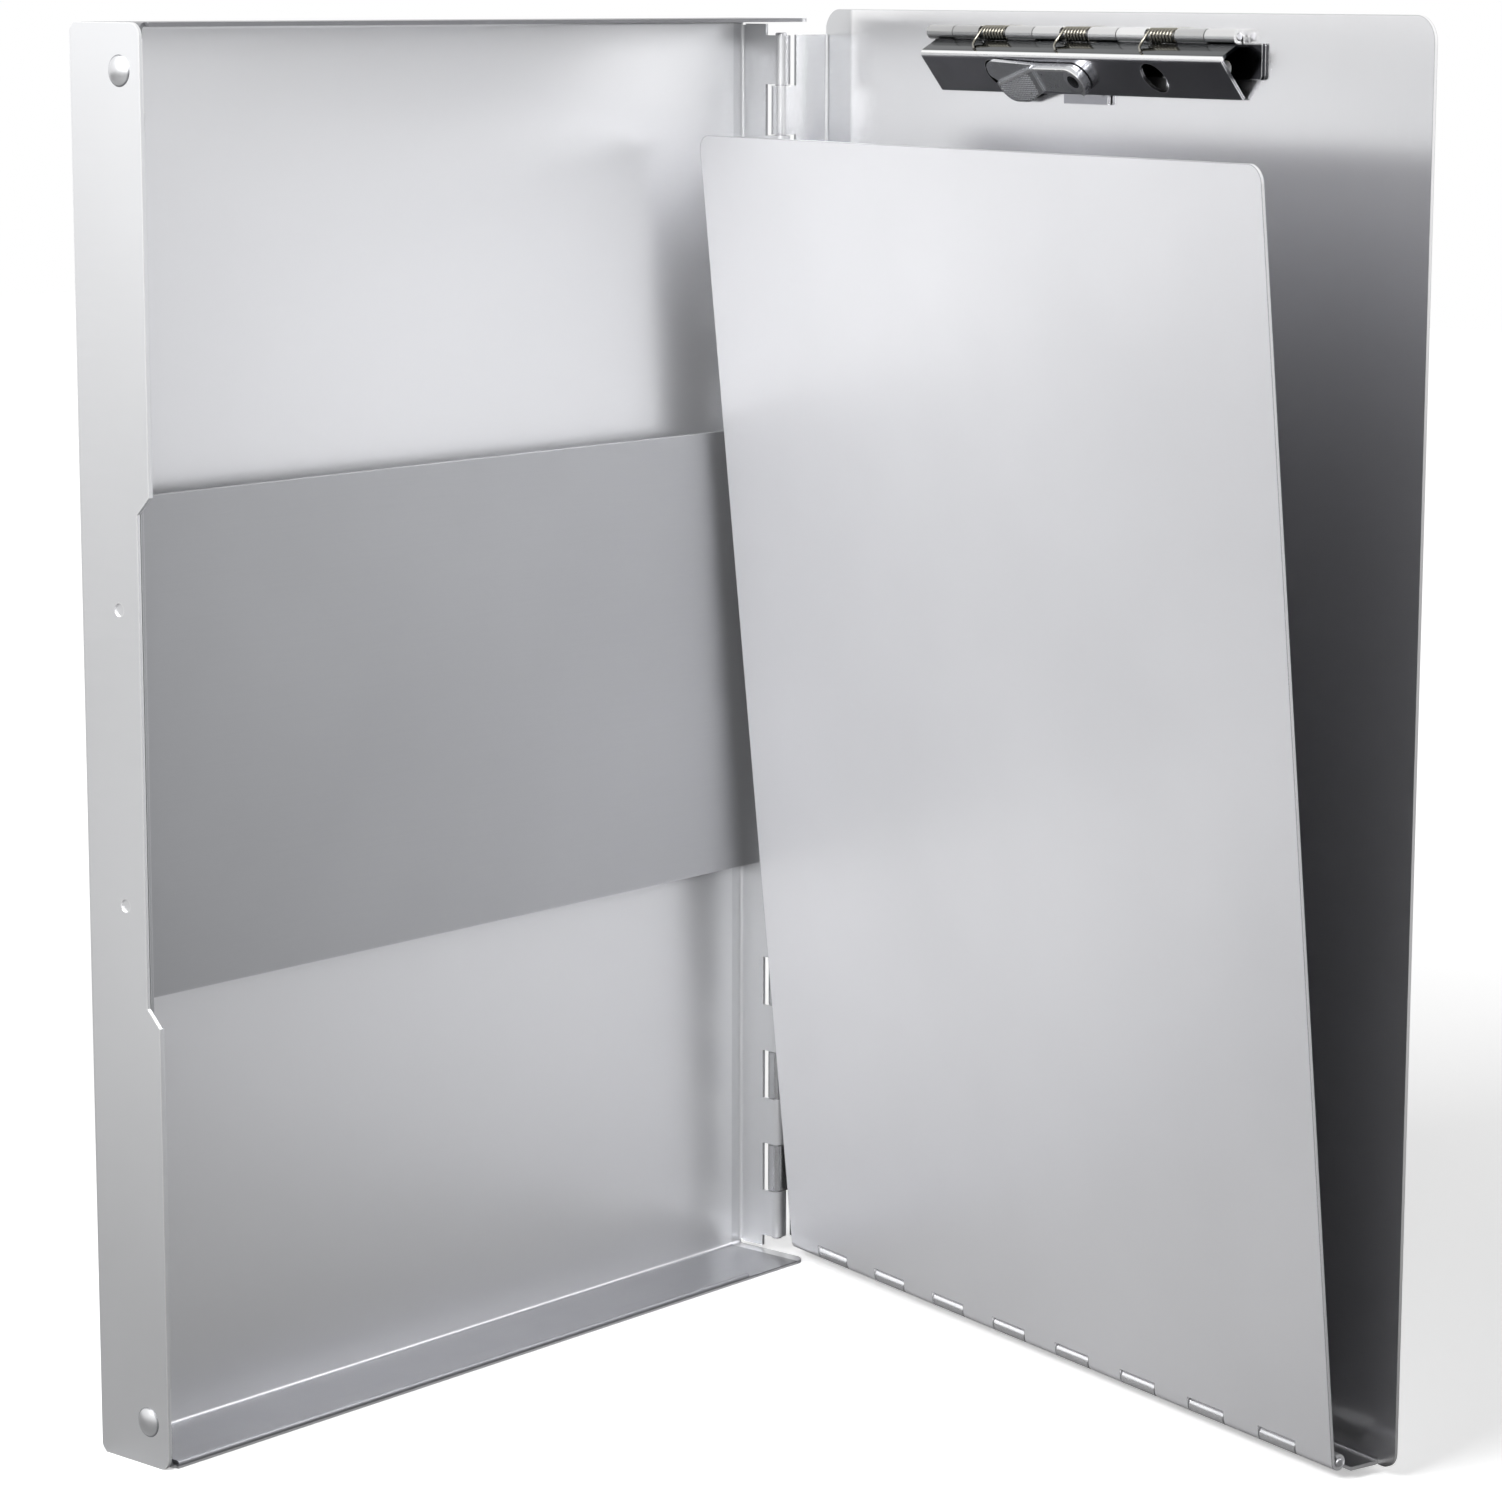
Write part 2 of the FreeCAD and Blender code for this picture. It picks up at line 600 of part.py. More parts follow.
def cover_lower_flange():
    """The bottom flange of the cover with its barrels and the gaps between them."""
    half = SHEET / 2
    middle = FLANGE_BOTTOM + half
    path = [(COVER_FACE_Y - half, FLANGE_BOTTOM + SHEET + 2 * BEND_RADIUS),
            (COVER_FACE_Y - half, middle), (LOWER_PIN_Y, middle)]
    flange = along_x(sheet_face(path, SHEET, BEND_RADIUS), across(COVER_FLANGE_END), across(COVER_FLANGE_START))
    edge = LOWER_PIN_Y - LOWER_BARREL - LOWER_RELIEF
    levels = (FLANGE_BOTTOM - CUT_OVERRUN, LOWER_PIN_HEIGHT + CUT_OVERRUN)
    reach = (edge, LOWER_PIN_Y + CUT_OVERRUN)
    kept = lower_places(1)
    bounds = [COVER_FLANGE_START - CUT_OVERRUN] + [value for pair in kept for value in pair]
    bounds.append(COVER_FLANGE_END + CUT_OVERRUN)
    cuts = []
    for start, end in zip(bounds[0::2], bounds[1::2]):
        cuts.append(block((across(end), across(start)), reach, levels))
    flange = flange.cut(cuts)
    face = curl_face((LOWER_PIN_Y, LOWER_PIN_HEIGHT), 270, CURL_SWEEP,
                     LOWER_PIN_RADIUS + RUNNING_GAP, LOWER_BARREL)
    barrels = [along_x(face, across(end), across(start)) for start, end in kept]
    return flange, barrels


def cover_corner_cuts():
    """Rounds at the cover plate's free corners."""
    left = across(COVER_REACH)
    right = SPINE_X - SPINE_BARREL + SHEET
    cuts = []
    corners = [(left, COVER_TOP, COVER_TOP_ROUND, 1, -1), (right, COVER_TOP, COVER_TOP_ROUND, -1, -1),
               (left, FLANGE_BOTTOM, COVER_BOTTOM_ROUND, 1, 1)]
    y_range = (COVER_FACE_Y - SHEET - CUT_OVERRUN, COVER_FACE_Y + SHEET)
    for x, z, radius, inward_x, inward_z in corners:
        x_limits = sorted((x - inward_x * CUT_OVERRUN, x + inward_x * radius))
        z_limits = sorted((z - inward_z * CUT_OVERRUN, z + inward_z * radius))
        centre = FreeCAD.Vector(x + inward_x * radius, y_range[0] - CUT_OVERRUN, z + inward_z * radius)
        disc = rod(radius, centre, centre + FreeCAD.Vector(0, 4 * CUT_OVERRUN, 0))
        cuts.append(block(x_limits, y_range, z_limits).cut(disc))
    return cuts


def base_rivet_places():
    """Lengths along the cover of the two rivets that hold the clip."""
    return [CLIP_START + BASE_RIVET_INSET, CLIP_START + CLIP_BARREL_LENGTH - BASE_RIVET_INSET]


def cover_shell():
    """The whole folded cover."""
    flange, barrels = cover_lower_flange()
    plate = cover_plate_and_spine()
    below = block((across(COVER_FLANGE_END), across(COVER_FLANGE_START)),
                  (COVER_FACE_Y - SHEET - CUT_OVERRUN, COVER_FACE_Y + CUT_OVERRUN),
                  (FLANGE_BOTTOM - CUT_OVERRUN, FLANGE_BOTTOM + SHEET + BEND_RADIUS))
    plate = plate.cut(below)
    shell = fused([plate, flange] + barrels + spine_barrels(1, 180 - CURL_SWEEP))
    shell = shell.cut(cover_corner_cuts())
    for reach in base_rivet_places():
        start = FreeCAD.Vector(across(reach), COVER_FACE_Y - CUT_OVERRUN, CLIP_AXIS_Z - BASE_RIVET_DROP)
        shell = shell.cut(rod(BASE_RIVET_SHANK_RADIUS + RUNNING_GAP, start,
                              start + FreeCAD.Vector(0, 2 * CUT_OVERRUN, 0)))
    return whole(shell)


def lower_hinge_pin():
    """The pin of the writing plate's hinge."""
    start = FreeCAD.Vector(across(PLATE_END + PIN_END_REACH), LOWER_PIN_Y, LOWER_PIN_HEIGHT)
    end = FreeCAD.Vector(across(PLATE_START - PIN_END_REACH), LOWER_PIN_Y, LOWER_PIN_HEIGHT)
    return domed_pin(LOWER_PIN_RADIUS, start, end)


def writing_plate():
    """The writing plate, upright, with its barrels and the windows between them."""
    front = LOWER_PIN_Y + LOWER_BARREL
    top = LOWER_PIN_HEIGHT + PLATE_RISE
    left = across(PLATE_END)
    right = across(PLATE_START)
    outline = [(left, LOWER_PIN_HEIGHT, 0), (right, LOWER_PIN_HEIGHT, 0),
               (right, top, PLATE_CORNER), (left, top, PLATE_CORNER)]
    sheet = along_y(outline_face(outline), front - SHEET, front)
    levels = (LOWER_PIN_HEIGHT - CUT_OVERRUN, LOWER_PIN_HEIGHT + LOWER_BARREL + LOWER_RELIEF / 2)
    cuts = []
    for start, end in lower_places(1):
        window = (across(end + KNUCKLE_END_GAP), across(start - KNUCKLE_END_GAP))
        cuts.append(block(window, (front - CUT_OVERRUN, front + CUT_OVERRUN), levels))
    sheet = sheet.cut(cuts)
    face = curl_face((LOWER_PIN_Y, LOWER_PIN_HEIGHT), -CURL_SWEEP, CURL_SWEEP,
                     LOWER_PIN_RADIUS + RUNNING_GAP, LOWER_BARREL)
    ends = [(start, end) for start, end in lower_places(0)]
    ends[0] = (PLATE_START, ends[0][1])
    ends[-1] = (ends[-1][0], PLATE_END)
    barrels = [along_x(face, across(end), across(start)) for start, end in ends]
    return whole(fused([sheet] + barrels))


# Clip

def span_limits(index):
    """Start and end along the cover of one place of the clip's barrel."""
    start = CLIP_START + index * CLIP_SPAN + KNUCKLE_END_GAP / 2
    return start, start + CLIP_SPAN - KNUCKLE_END_GAP


def base_spans():
    """Places of the clip's barrel that belong to its base."""
    taken = CLIP_SPRING_SPANS + CLIP_JAW_SPANS
    return [index for index in range(CLIP_SPANS) if index not in taken]


def clip_base():
    """The base leaf on the cover, curled round the clip pin."""
    right = across(CLIP_START)
    barrels_end = across(CLIP_START + CLIP_BARREL_LENGTH)
    left = barrels_end - CLIP_BASE_END
    bottom = CLIP_AXIS_Z - CLIP_BASE_BELOW_AXIS
    low_top = CLIP_AXIS_Z - CLIP_BASE_END_DROP
    outline = [(left, bottom, CLIP_BASE_CORNER), (right, bottom, CLIP_BASE_CORNER),
               (right, CLIP_AXIS_Z, 0), (barrels_end, CLIP_AXIS_Z, 0),
               (barrels_end, low_top, 0), (left, low_top, CLIP_BASE_CORNER / 2)]
    leaf = along_y(outline_face(outline), COVER_FACE_Y, COVER_FACE_Y + CLIP_BASE_SHEET)
    y_range = (COVER_FACE_Y - CUT_OVERRUN, COVER_FACE_Y + CUT_OVERRUN)
    high = CLIP_AXIS_Z + CUT_OVERRUN
    for index in range(CLIP_SPANS):
        start, end = span_limits(index)
        window = (across(end + KNUCKLE_END_GAP / 2), across(start - KNUCKLE_END_GAP / 2))
        if index in CLIP_JAW_SPANS:
            leaf = leaf.cut(block(window, y_range, (CLIP_AXIS_Z - CLIP_BARREL - CLIP_SPAN_RELIEF, high)))
        if index in CLIP_SPRING_SPANS:
            leaf = leaf.cut(block(window, y_range, (CLIP_AXIS_Z - SPRING_SLOT_DEPTH, high)))
    face = curl_face((CLIP_AXIS_Y, CLIP_AXIS_Z), 180 - CURL_SWEEP, CURL_SWEEP,
                     CLIP_PIN_RADIUS + RUNNING_GAP, CLIP_BARREL)
    barrels = []
    for index in base_spans():
        start, end = span_limits(index)
        barrels.append(along_x(face, across(end), across(start)))
    base = fused([leaf] + barrels)
    for reach in base_rivet_places():
        start = FreeCAD.Vector(across(reach), COVER_FACE_Y - CUT_OVERRUN, CLIP_AXIS_Z - BASE_RIVET_DROP)
        base = base.cut(rod(BASE_RIVET_SHANK_RADIUS + RUNNING_GAP, start,
                            start + FreeCAD.Vector(0, 2 * CUT_OVERRUN, 0)))
    return whole(base)


def base_rivet(reach):
    """A rivet through the clip's base leaf and the cover."""
    outer = FreeCAD.Vector(across(reach), COVER_FACE_Y - SHEET, CLIP_AXIS_Z - BASE_RIVET_DROP)
    inner = outer + FreeCAD.Vector(0, SHEET + CLIP_BASE_SHEET, 0)
    inward = FreeCAD.Vector(0, 1, 0)
    parts = [dome(BASE_RIVET_HEAD_RADIUS, BASE_RIVET_HEAD_HEIGHT, inner, inward),
             rod(BASE_RIVET_SHANK_RADIUS, outer, inner),
             dome(BASE_RIVET_HEAD_RADIUS, BASE_RIVET_OUTER_HEIGHT, outer, -inward)]
    return whole(fused(parts))


def clip_pin():
    """The pin of the clip's hinge."""
    start = FreeCAD.Vector(across(CLIP_START + CLIP_BARREL_LENGTH), CLIP_AXIS_Y, CLIP_AXIS_Z)
    end = FreeCAD.Vector(across(CLIP_START), CLIP_AXIS_Y, CLIP_AXIS_Z)
    return domed_pin(CLIP_PIN_RADIUS, start, end)


def jaw_frame():
    """The jaw's bend points and directions in (y, z): pin axis, ridge, lip, then unit directions.

    slope runs down the top face and normal stands on it; run runs down the
    lower face and out stands on it.
    """
    axis = FreeCAD.Vector(CLIP_AXIS_Y, CLIP_AXIS_Z, 0)
    ridge = axis + FreeCAD.Vector(JAW_RIDGE_OUT, -JAW_RIDGE_DROP, 0)
    lip_y = COVER_FACE_Y + JAW_LIP_GAP + CLIP_SHEET / 2
    lip = FreeCAD.Vector(lip_y, CLIP_AXIS_Z - JAW_LIP_DROP, 0)
    reach = ridge - axis
    lean = math.degrees(math.asin((CLIP_BARREL - CLIP_SHEET / 2) / reach.Length))
    slope = turned(reach.normalize(), lean)
    run = (lip - ridge).normalize()
    return axis, ridge, lip, slope, turned(slope, 90), run, turned(run, 90)


def clip_jaw():
    """The bent jaw that presses on the cover, with its barrels, holes and foot."""
    axis, ridge, lip, slope, normal, run, out = jaw_frame()
    start = axis - normal * (CLIP_BARREL - CLIP_SHEET / 2)
    path = [(point.x, point.y) for point in (start, ridge, lip)]
    left = across(JAW_CENTRE + JAW_WIDTH / 2)
    right = across(JAW_CENTRE - JAW_WIDTH / 2)
    sheet = along_x(sheet_face(path, CLIP_SHEET, JAW_BEND_RADIUS), left, right)
    cuts = []
    for index in range(CLIP_SPANS):
        if index in CLIP_JAW_SPANS:
            continue
        first, last = span_limits(index)
        centre = FreeCAD.Vector(across(last + KNUCKLE_END_GAP / 2), axis.x, axis.y)
        end = FreeCAD.Vector(across(first - KNUCKLE_END_GAP / 2), axis.x, axis.y)
        cuts.append(rod(CLIP_BARREL + CLIP_SPAN_RELIEF, centre, end))
    for outside in ((left - CUT_OVERRUN, across(CLIP_START + CLIP_BARREL_LENGTH)),
                    (across(CLIP_START), right + CUT_OVERRUN)):
        if outside[1] > outside[0]:
            cuts.append(rod(CLIP_BARREL + CLIP_SPAN_RELIEF, FreeCAD.Vector(outside[0], axis.x, axis.y),
                            FreeCAD.Vector(outside[1], axis.x, axis.y)))
    sheet = sheet.cut(cuts)
    start_angle = 180 + math.degrees(math.atan2(normal.y, normal.x)) - CURL_SWEEP
    face = curl_face((axis.x, axis.y), start_angle, CURL_SWEEP, CLIP_PIN_RADIUS + RUNNING_GAP, CLIP_BARREL)
    barrels = []
    for index in CLIP_JAW_SPANS:
        first, last = span_limits(index)
        barrels.append(along_x(face, across(last), across(first)))
    foot_path = [(point.x, point.y) for point in (lip - run * FOOT_LAP, lip,
                                                  lip - FreeCAD.Vector(0, FOOT_LENGTH, 0))]
    foot = along_x(sheet_face(foot_path, CLIP_SHEET, JAW_BEND_RADIUS / 2),
                   across(JAW_CENTRE + FOOT_WIDTH / 2), across(JAW_CENTRE - FOOT_WIDTH / 2))
    jaw = fused([sheet, foot] + barrels)
    for offset_along in (-JAW_HOLE_OFFSET, JAW_HOLE_OFFSET):
        jaw = jaw.cut(face_rod(JAW_HOLE_RADIUS, offset_along, 0, CUT_OVERRUN / 2))
    jaw = jaw.cut(face_rod(EYELET_RADIUS + RUNNING_GAP, LEVER_PIVOT_OFFSET, LEVER_PIVOT_DROP, CUT_OVERRUN / 2))
    return whole(jaw)


def face_point(offset_along, drop, height):
    """A point over the jaw's lower face, measured from its middle, in world axes."""
    ridge, lip = jaw_frame()[1:3]
    run, out = jaw_frame()[5:7]
    plane = (ridge + lip) / 2 + run * drop + out * height
    return FreeCAD.Vector(across(JAW_CENTRE + offset_along), plane.x, plane.y)


def face_rod(radius, offset_along, drop, reach):
    """A cylinder square to the jaw's lower face that reaches equally to both sides of it."""
    return rod(radius, face_point(offset_along, drop, -reach), face_point(offset_along, drop, reach))


def on_jaw_face(solid):
    """Carry a solid drawn flat, with its origin on the lever's pivot, to the jaw's lower face.

    Drawn +X runs along the cover away from the spine, drawn +Y runs down the
    face and drawn +Z stands out from it.
    """
    origin = face_point(LEVER_PIVOT_OFFSET, LEVER_PIVOT_DROP, 0)
    run, out = jaw_frame()[5:7]
    matrix = FreeCAD.Matrix(-1, 0, 0, origin.x,
                            0, run.x, out.x, origin.y,
                            0, run.y, out.y, origin.z,
                            0, 0, 0, 1)
    return solid.transformShape(matrix)


def lever_pad_side():
    """Corners of the lever's lower side from its arm to the end of its thumb pad."""
    return [(-LEVER_PAD_START, LEVER_PAD_DROP, LEVER_PAD_HEEL_RADIUS),
            (-LEVER_PAD_END, LEVER_PAD_DROP, LEVER_PAD_RADIUS)]


def lever_plate():
    """The lever's flat plate, drawn round its pivot: boss, arm, pad and the wing beyond the pad."""
    boss = LEVER_BOSS_RADIUS
    outline = [(boss, -boss, boss * ROUND_SHARE), (boss, boss, LEVER_BOSS_LOWER_RADIUS),
               (-LEVER_NECK, LEVER_NECK_DROP, LEVER_NECK_RADIUS)] + lever_pad_side()
    outline += [(-LEVER_PAD_END, LEVER_PAD_TIP_DROP, 0), (-LEVER_WING_END, -LEVER_PAD_TIP_DROP, 0),
                (-LEVER_WING_END, -LEVER_WING_RISE, LEVER_WING_RADIUS), (-LEVER_KNEE, -boss, 0)]
    return outline_face(outline)


def clip_lever():
    """The stamped thumb lever: a plate with a raised pad and a rim round its upper side."""
    bottom = CLIP_SHEET / 2 + LEVER_GAP
    top = bottom + LEVER_SHEET
    boss = LEVER_BOSS_RADIUS
    half = LEVER_RIM_SHEET / 2
    pad = outline_face([(-LEVER_NECK, LEVER_NECK_DROP, 0)] + lever_pad_side()
                       + [(-LEVER_PAD_END, LEVER_PAD_TIP_DROP, 0), (-LEVER_NECK, -boss + half, 0)])
    rim = sheet_face([(-LEVER_PAD_TIP, LEVER_PAD_TIP_DROP), (-LEVER_KNEE, -boss + half), (0, -boss + half)],
                     LEVER_RIM_SHEET, boss)
    rim_end = curl_face((0, 0), -90, LEVER_RIM_SWEEP, boss - LEVER_RIM_SHEET, boss)
    rim_top = top + LEVER_RIM_HEIGHT
    parts = [along_z(lever_plate(), bottom, top), along_z(pad, top, top + LEVER_PAD_RAISE),
             along_z(rim, bottom, rim_top), along_z(rim_end, bottom, rim_top)]
    bore = rod(LEVER_BORE_RADIUS, UP * -CUT_OVERRUN, UP * CUT_OVERRUN)
    return whole(on_jaw_face(fused(parts).cut(bore)))


def lever_eyelet():
    """The hollow rivet on which the lever turns."""
    low = -CLIP_SHEET / 2
    lever_top = CLIP_SHEET / 2 + LEVER_GAP + LEVER_SHEET
    head_base = lever_top + RUNNING_GAP
    stem = rod(EYELET_RADIUS, UP * (low - EYELET_RIM_HEIGHT), UP * (head_base + EYELET_RIM_HEIGHT))
    head = rod(EYELET_RIM_RADIUS, UP * head_base, UP * (head_base + EYELET_RIM_HEIGHT))
    head = head.makeFillet(EYELET_RIM_HEIGHT / 3, [edge for edge in head.Edges if edge.Closed])
    tail = rod(EYELET_RIM_RADIUS, UP * (low - EYELET_RIM_HEIGHT), UP * low)
    spacer = rod(EYELET_RIM_RADIUS, UP * (CLIP_SHEET / 2), UP * (CLIP_SHEET / 2 + LEVER_GAP - RUNNING_GAP))
    bore = rod(EYELET_BORE_RADIUS, UP * -CUT_OVERRUN, UP * CUT_OVERRUN)
    return whole(on_jaw_face(fused([stem, head, tail, spacer]).cut(bore)))


# Clip springs

def arc_through(start, tangent, end):
    """An arc that leaves start along the tangent and ends at end, or a line if they agree."""
    chord = end - start
    angle = tangent.getAngle(chord)
    if angle < SMALLEST_EDGE:
        return Part.LineSegment(start, end).toShape()
    middle = start + chord / 2
    apex = start + tangent * (chord.Length / 2 / math.cos(angle))
    rise = (apex - middle).normalize() * (chord.Length / 2 * math.tan(angle / 2))
    return Part.Arc(start, middle + rise, end).toShape()


def biarc(start, start_tangent, end, end_tangent):
    """Two arcs that join two points and keep the directions at both."""
    span = end - start
    both = start_tangent + end_tangent
    factor = 2 * (1 - start_tangent.dot(end_tangent))
    slant = span.dot(both)
    reach = span.dot(span) / (slant + math.sqrt(slant ** 2 + factor * span.dot(span)))
    first_apex = start + start_tangent * reach
    second_apex = end - end_tangent * reach
    joint = (first_apex + second_apex) / 2
    joint_tangent = (second_apex - first_apex).normalize()
    return [arc_through(start, start_tangent, joint), arc_through(joint, joint_tangent, end)]


def spring_nodes(index):
    """Points and directions along one spring: jaw leg, coil and heel on the cover."""
    slope, normal = jaw_frame()[3:5]
    start, end = span_limits(index)
    margin = SPRING_END_GAP + SPRING_WIRE_RADIUS
    first_angle = math.degrees(math.atan2(normal.y, normal.x)) - SPRING_DROP_ANGLE
    sweep = 180 + 360 * SPRING_TURNS - first_angle
    steps = math.ceil(sweep / 360 * SPRING_STEPS_PER_TURN)
    run = end - start - 2 * margin
    rate = run / math.radians(sweep)

    def place(reach, plane):
        return FreeCAD.Vector(across(reach), CLIP_AXIS_Y + plane.x, CLIP_AXIS_Z + plane.y)

    coil = []
    for step in range(steps + 1):
        angle = first_angle + sweep * step / steps
        radial = turned(FreeCAD.Vector(SPRING_COIL_RADIUS, 0, 0), angle)
        around = turned(radial, 90)
        tangent = FreeCAD.Vector(-rate, around.x, around.y).normalize()
        coil.append((place(start + margin + run * step / steps, radial), tangent))
    lift = SPRING_WIRE_RADIUS + SPRING_SEAT_GAP - (CLIP_BARREL - CLIP_SHEET)
    side = rate / 2
    leg_end = place(start + margin + SPRING_LEG_DRIFT, slope * SPRING_LEG_END + normal * lift)
    leg_start = place(start + margin, slope * SPRING_LEG_START + normal * lift)
    toward = (leg_start - leg_end).normalize()
    leg = [(leg_end, toward), (leg_start, toward)]
    heel = [(place(end - margin + side, FreeCAD.Vector(-SPRING_COIL_RADIUS, -SPRING_HEEL_START, 0)), UP * -1),
            (place(end - margin + side, FreeCAD.Vector(-SPRING_COIL_RADIUS, -SPRING_HEEL_END, 0)), UP * -1)]
    return leg, coil, heel


def spring_path(index):
    """The centre line of one spring as a smooth wire."""
    leg, coil, heel = spring_nodes(index)
    route = [leg[1]] + coil + [heel[0]]
    edges = [Part.LineSegment(leg[0][0], leg[1][0]).toShape()]
    for (start, start_tangent), (end, end_tangent) in zip(route, route[1:]):
        edges.extend(biarc(start, start_tangent, end, end_tangent))
    edges.append(Part.LineSegment(heel[0][0], heel[1][0]).toShape())
    return Part.Wire(edges)


def least_gap(wire):
    """Smallest gap between the turns of a wound wire, measured on points of its centre line."""
    points = []
    lengths = []
    travelled = 0
    for edge in wire.Edges:
        for point in edge.discretize(SPRING_CHECK_STEPS)[1:]:
            if points:
                travelled += (point - points[-1]).Length
            points.append(point)
            lengths.append(travelled)
    near = math.pi * SPRING_COIL_RADIUS
    least = travelled
    for index, point in enumerate(points):
        for other in range(index + 1, len(points)):
            if lengths[other] - lengths[index] > near:
                least = min(least, (point - points[other]).Length)
    return least - 2 * SPRING_WIRE_RADIUS


def clip_spring(index):
    """A wound spring of the clip, swept as one tube."""
    path = spring_path(index)
    start, tangent = spring_nodes(index)[0][0]
    ring = Part.Wire(Part.Circle(start, tangent, SPRING_WIRE_RADIUS).toShape())
    print("spring %d: least gap between turns %.3f mm" % (index, least_gap(path)))
    return whole(path.makePipeShell([ring], True, False))


# Assembly in the pose of rest

def opened(shape):
    """Swing a piece of the cover open about the spine pin."""
    moved = shape.copy()
    moved.rotate(FreeCAD.Vector(SPINE_X, SPINE_Y, 0), UP, OPEN_ANGLE)
    return moved


def tilted(shape):
    """Lean the upright writing plate away from the cover about its pin."""
    moved = shape.copy()
    moved.rotate(FreeCAD.Vector(0, LOWER_PIN_Y, LOWER_PIN_HEIGHT), FreeCAD.Vector(-1, 0, 0), PLATE_TILT)
    return moved


def pieces():
    """Every piece of the part by name, in the pose of rest."""
    lower, upper = rivet_places()
    left, right = base_rivet_places()
    springs = [clip_spring(index) for index in CLIP_SPRING_SPANS]
    still = {"tray_shell": tray_shell(), "cross_band": cross_band(),
             "lower_corner_rivet": corner_rivet(lower), "upper_corner_rivet": corner_rivet(upper),
             "spine_pin": spine_pin()}
    swung = {"cover_shell": cover_shell(), "lower_hinge_pin": lower_hinge_pin(),
             "writing_plate": tilted(writing_plate()), "clip_base": clip_base(),
             "clip_base_rivet_left": base_rivet(left), "clip_base_rivet_right": base_rivet(right),
             "clip_pin": clip_pin(), "clip_jaw": clip_jaw(), "clip_spring_left": springs[0],
             "clip_spring_middle": springs[1], "clip_spring_right": springs[2],
             "clip_lever": clip_lever(), "lever_eyelet": lever_eyelet()}
    still.update({name: opened(shape) for name, shape in swung.items()})
    return still


os.makedirs("parts", exist_ok=True)
for piece_name, piece_shape in pieces().items():
    if not piece_shape.isValid():
        raise ValueError("invalid solid: " + piece_name)
    piece_shape.exportStep("parts/%s.step" % piece_name)
    print("%-22s %8.1f mm3" % (piece_name, piece_shape.Volume))
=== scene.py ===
# %% [markdown]
# # A storage clipboard box of sheet metal, standing open
#
# The box is a shallow aluminium tray with a flat cover on a full-height pin
# hinge. A writing plate is hinged to the cover's lower edge, and a sprung
# clip with a thumb lever sits at the top of the cover. The solids come from
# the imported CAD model, so this lesson is about light, camera and surfaces,
# and about one piece that is too fine for the solids, the lever's knurl.

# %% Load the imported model
import bpy
import bmesh
import math
from mathutils import Matrix, Vector
from mathutils.bvhtree import BVHTree


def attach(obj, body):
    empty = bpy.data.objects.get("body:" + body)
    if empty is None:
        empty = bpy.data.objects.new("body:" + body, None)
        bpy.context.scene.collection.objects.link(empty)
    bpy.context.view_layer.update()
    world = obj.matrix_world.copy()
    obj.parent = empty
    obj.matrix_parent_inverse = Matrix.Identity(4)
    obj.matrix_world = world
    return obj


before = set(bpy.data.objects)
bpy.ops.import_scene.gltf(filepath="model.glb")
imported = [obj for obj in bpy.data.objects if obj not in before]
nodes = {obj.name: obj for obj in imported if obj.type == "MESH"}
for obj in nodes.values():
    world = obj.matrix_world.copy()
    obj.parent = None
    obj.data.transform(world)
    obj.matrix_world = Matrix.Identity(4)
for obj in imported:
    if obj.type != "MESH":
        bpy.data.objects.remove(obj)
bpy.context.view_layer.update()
MM = 0.001

# %% [markdown]
# ## The camera
#
# The camera was solved from straight edges of the box whose sizes are known:
# the corners of the tray, the cover and the plate. It stands about 1.1 m
# away, slightly above the top of the box, and looks down by ten degrees
# through a moderately long lens. A matrix built from the three view
# directions is exact, where three separate turns are easy to get wrong.

# %% Camera from the solved directions
CAMERA_PLACE = Vector((-0.75179, -0.74130, 0.33417))
YAW = math.radians(49.063)
PITCH = math.radians(9.864)
ROLL = math.radians(0.135)
LENS_MM = 105.55
SENSOR_MM = 36
NEAREST_SEEN = 0.05

ahead = Vector((
    math.sin(YAW) * math.cos(PITCH),
    math.cos(YAW) * math.cos(PITCH),
    -math.sin(PITCH),
))
level_right = Vector((math.cos(YAW), -math.sin(YAW), 0))
level_up = level_right.cross(ahead)
right = level_right * math.cos(ROLL) + level_up * math.sin(ROLL)
up = level_up * math.cos(ROLL) - level_right * math.sin(ROLL)

camera_data = bpy.data.cameras.new("camera")
camera_data.lens = LENS_MM
camera_data.sensor_width = SENSOR_MM
camera_data.sensor_fit = "HORIZONTAL"
camera_data.clip_start = NEAREST_SEEN
camera = bpy.data.objects.new("camera", camera_data)
turn = Matrix((right, up, -ahead)).transposed().to_4x4()
camera.matrix_world = Matrix.Translation(CAMERA_PLACE) @ turn
bpy.context.collection.objects.link(camera)
bpy.context.scene.camera = camera
print("camera looks along", [round(value, 3) for value in ahead])

# %% [markdown]
# ## Colour management
#
# The Standard view transform shows a colour as it was written, which makes a
# plain studio light easy to judge.

# %% Standard view transform
bpy.context.scene.view_settings.view_transform = "Standard"
print("view transform:", bpy.context.scene.view_settings.view_transform)

# %% [markdown]
# ## Small helpers for node materials
#
# A material is a graph of nodes. A few helpers keep the graphs short. One
# adds a node, one gives an input either another node's output or a value of
# its own, and the rest stand for the small sums that the finishes share.
# Every pattern reads Object coordinates, so it stays on its piece.

# %% Add and feed nodes
def add_node(tree, kind, **settings):
    """Add a shader node and set its properties."""
    node = tree.nodes.new("ShaderNode" + kind)
    for name, value in settings.items():
        setattr(node, name, value)
    return node


def feed(tree, socket, value):
    """Give an input another node's output, or a value of its own."""
    if isinstance(value, bpy.types.NodeSocket):
        tree.links.new(value, socket)
    elif socket.type == "RGBA":
        socket.default_value = (*value, 1)
    else:
        socket.default_value = value


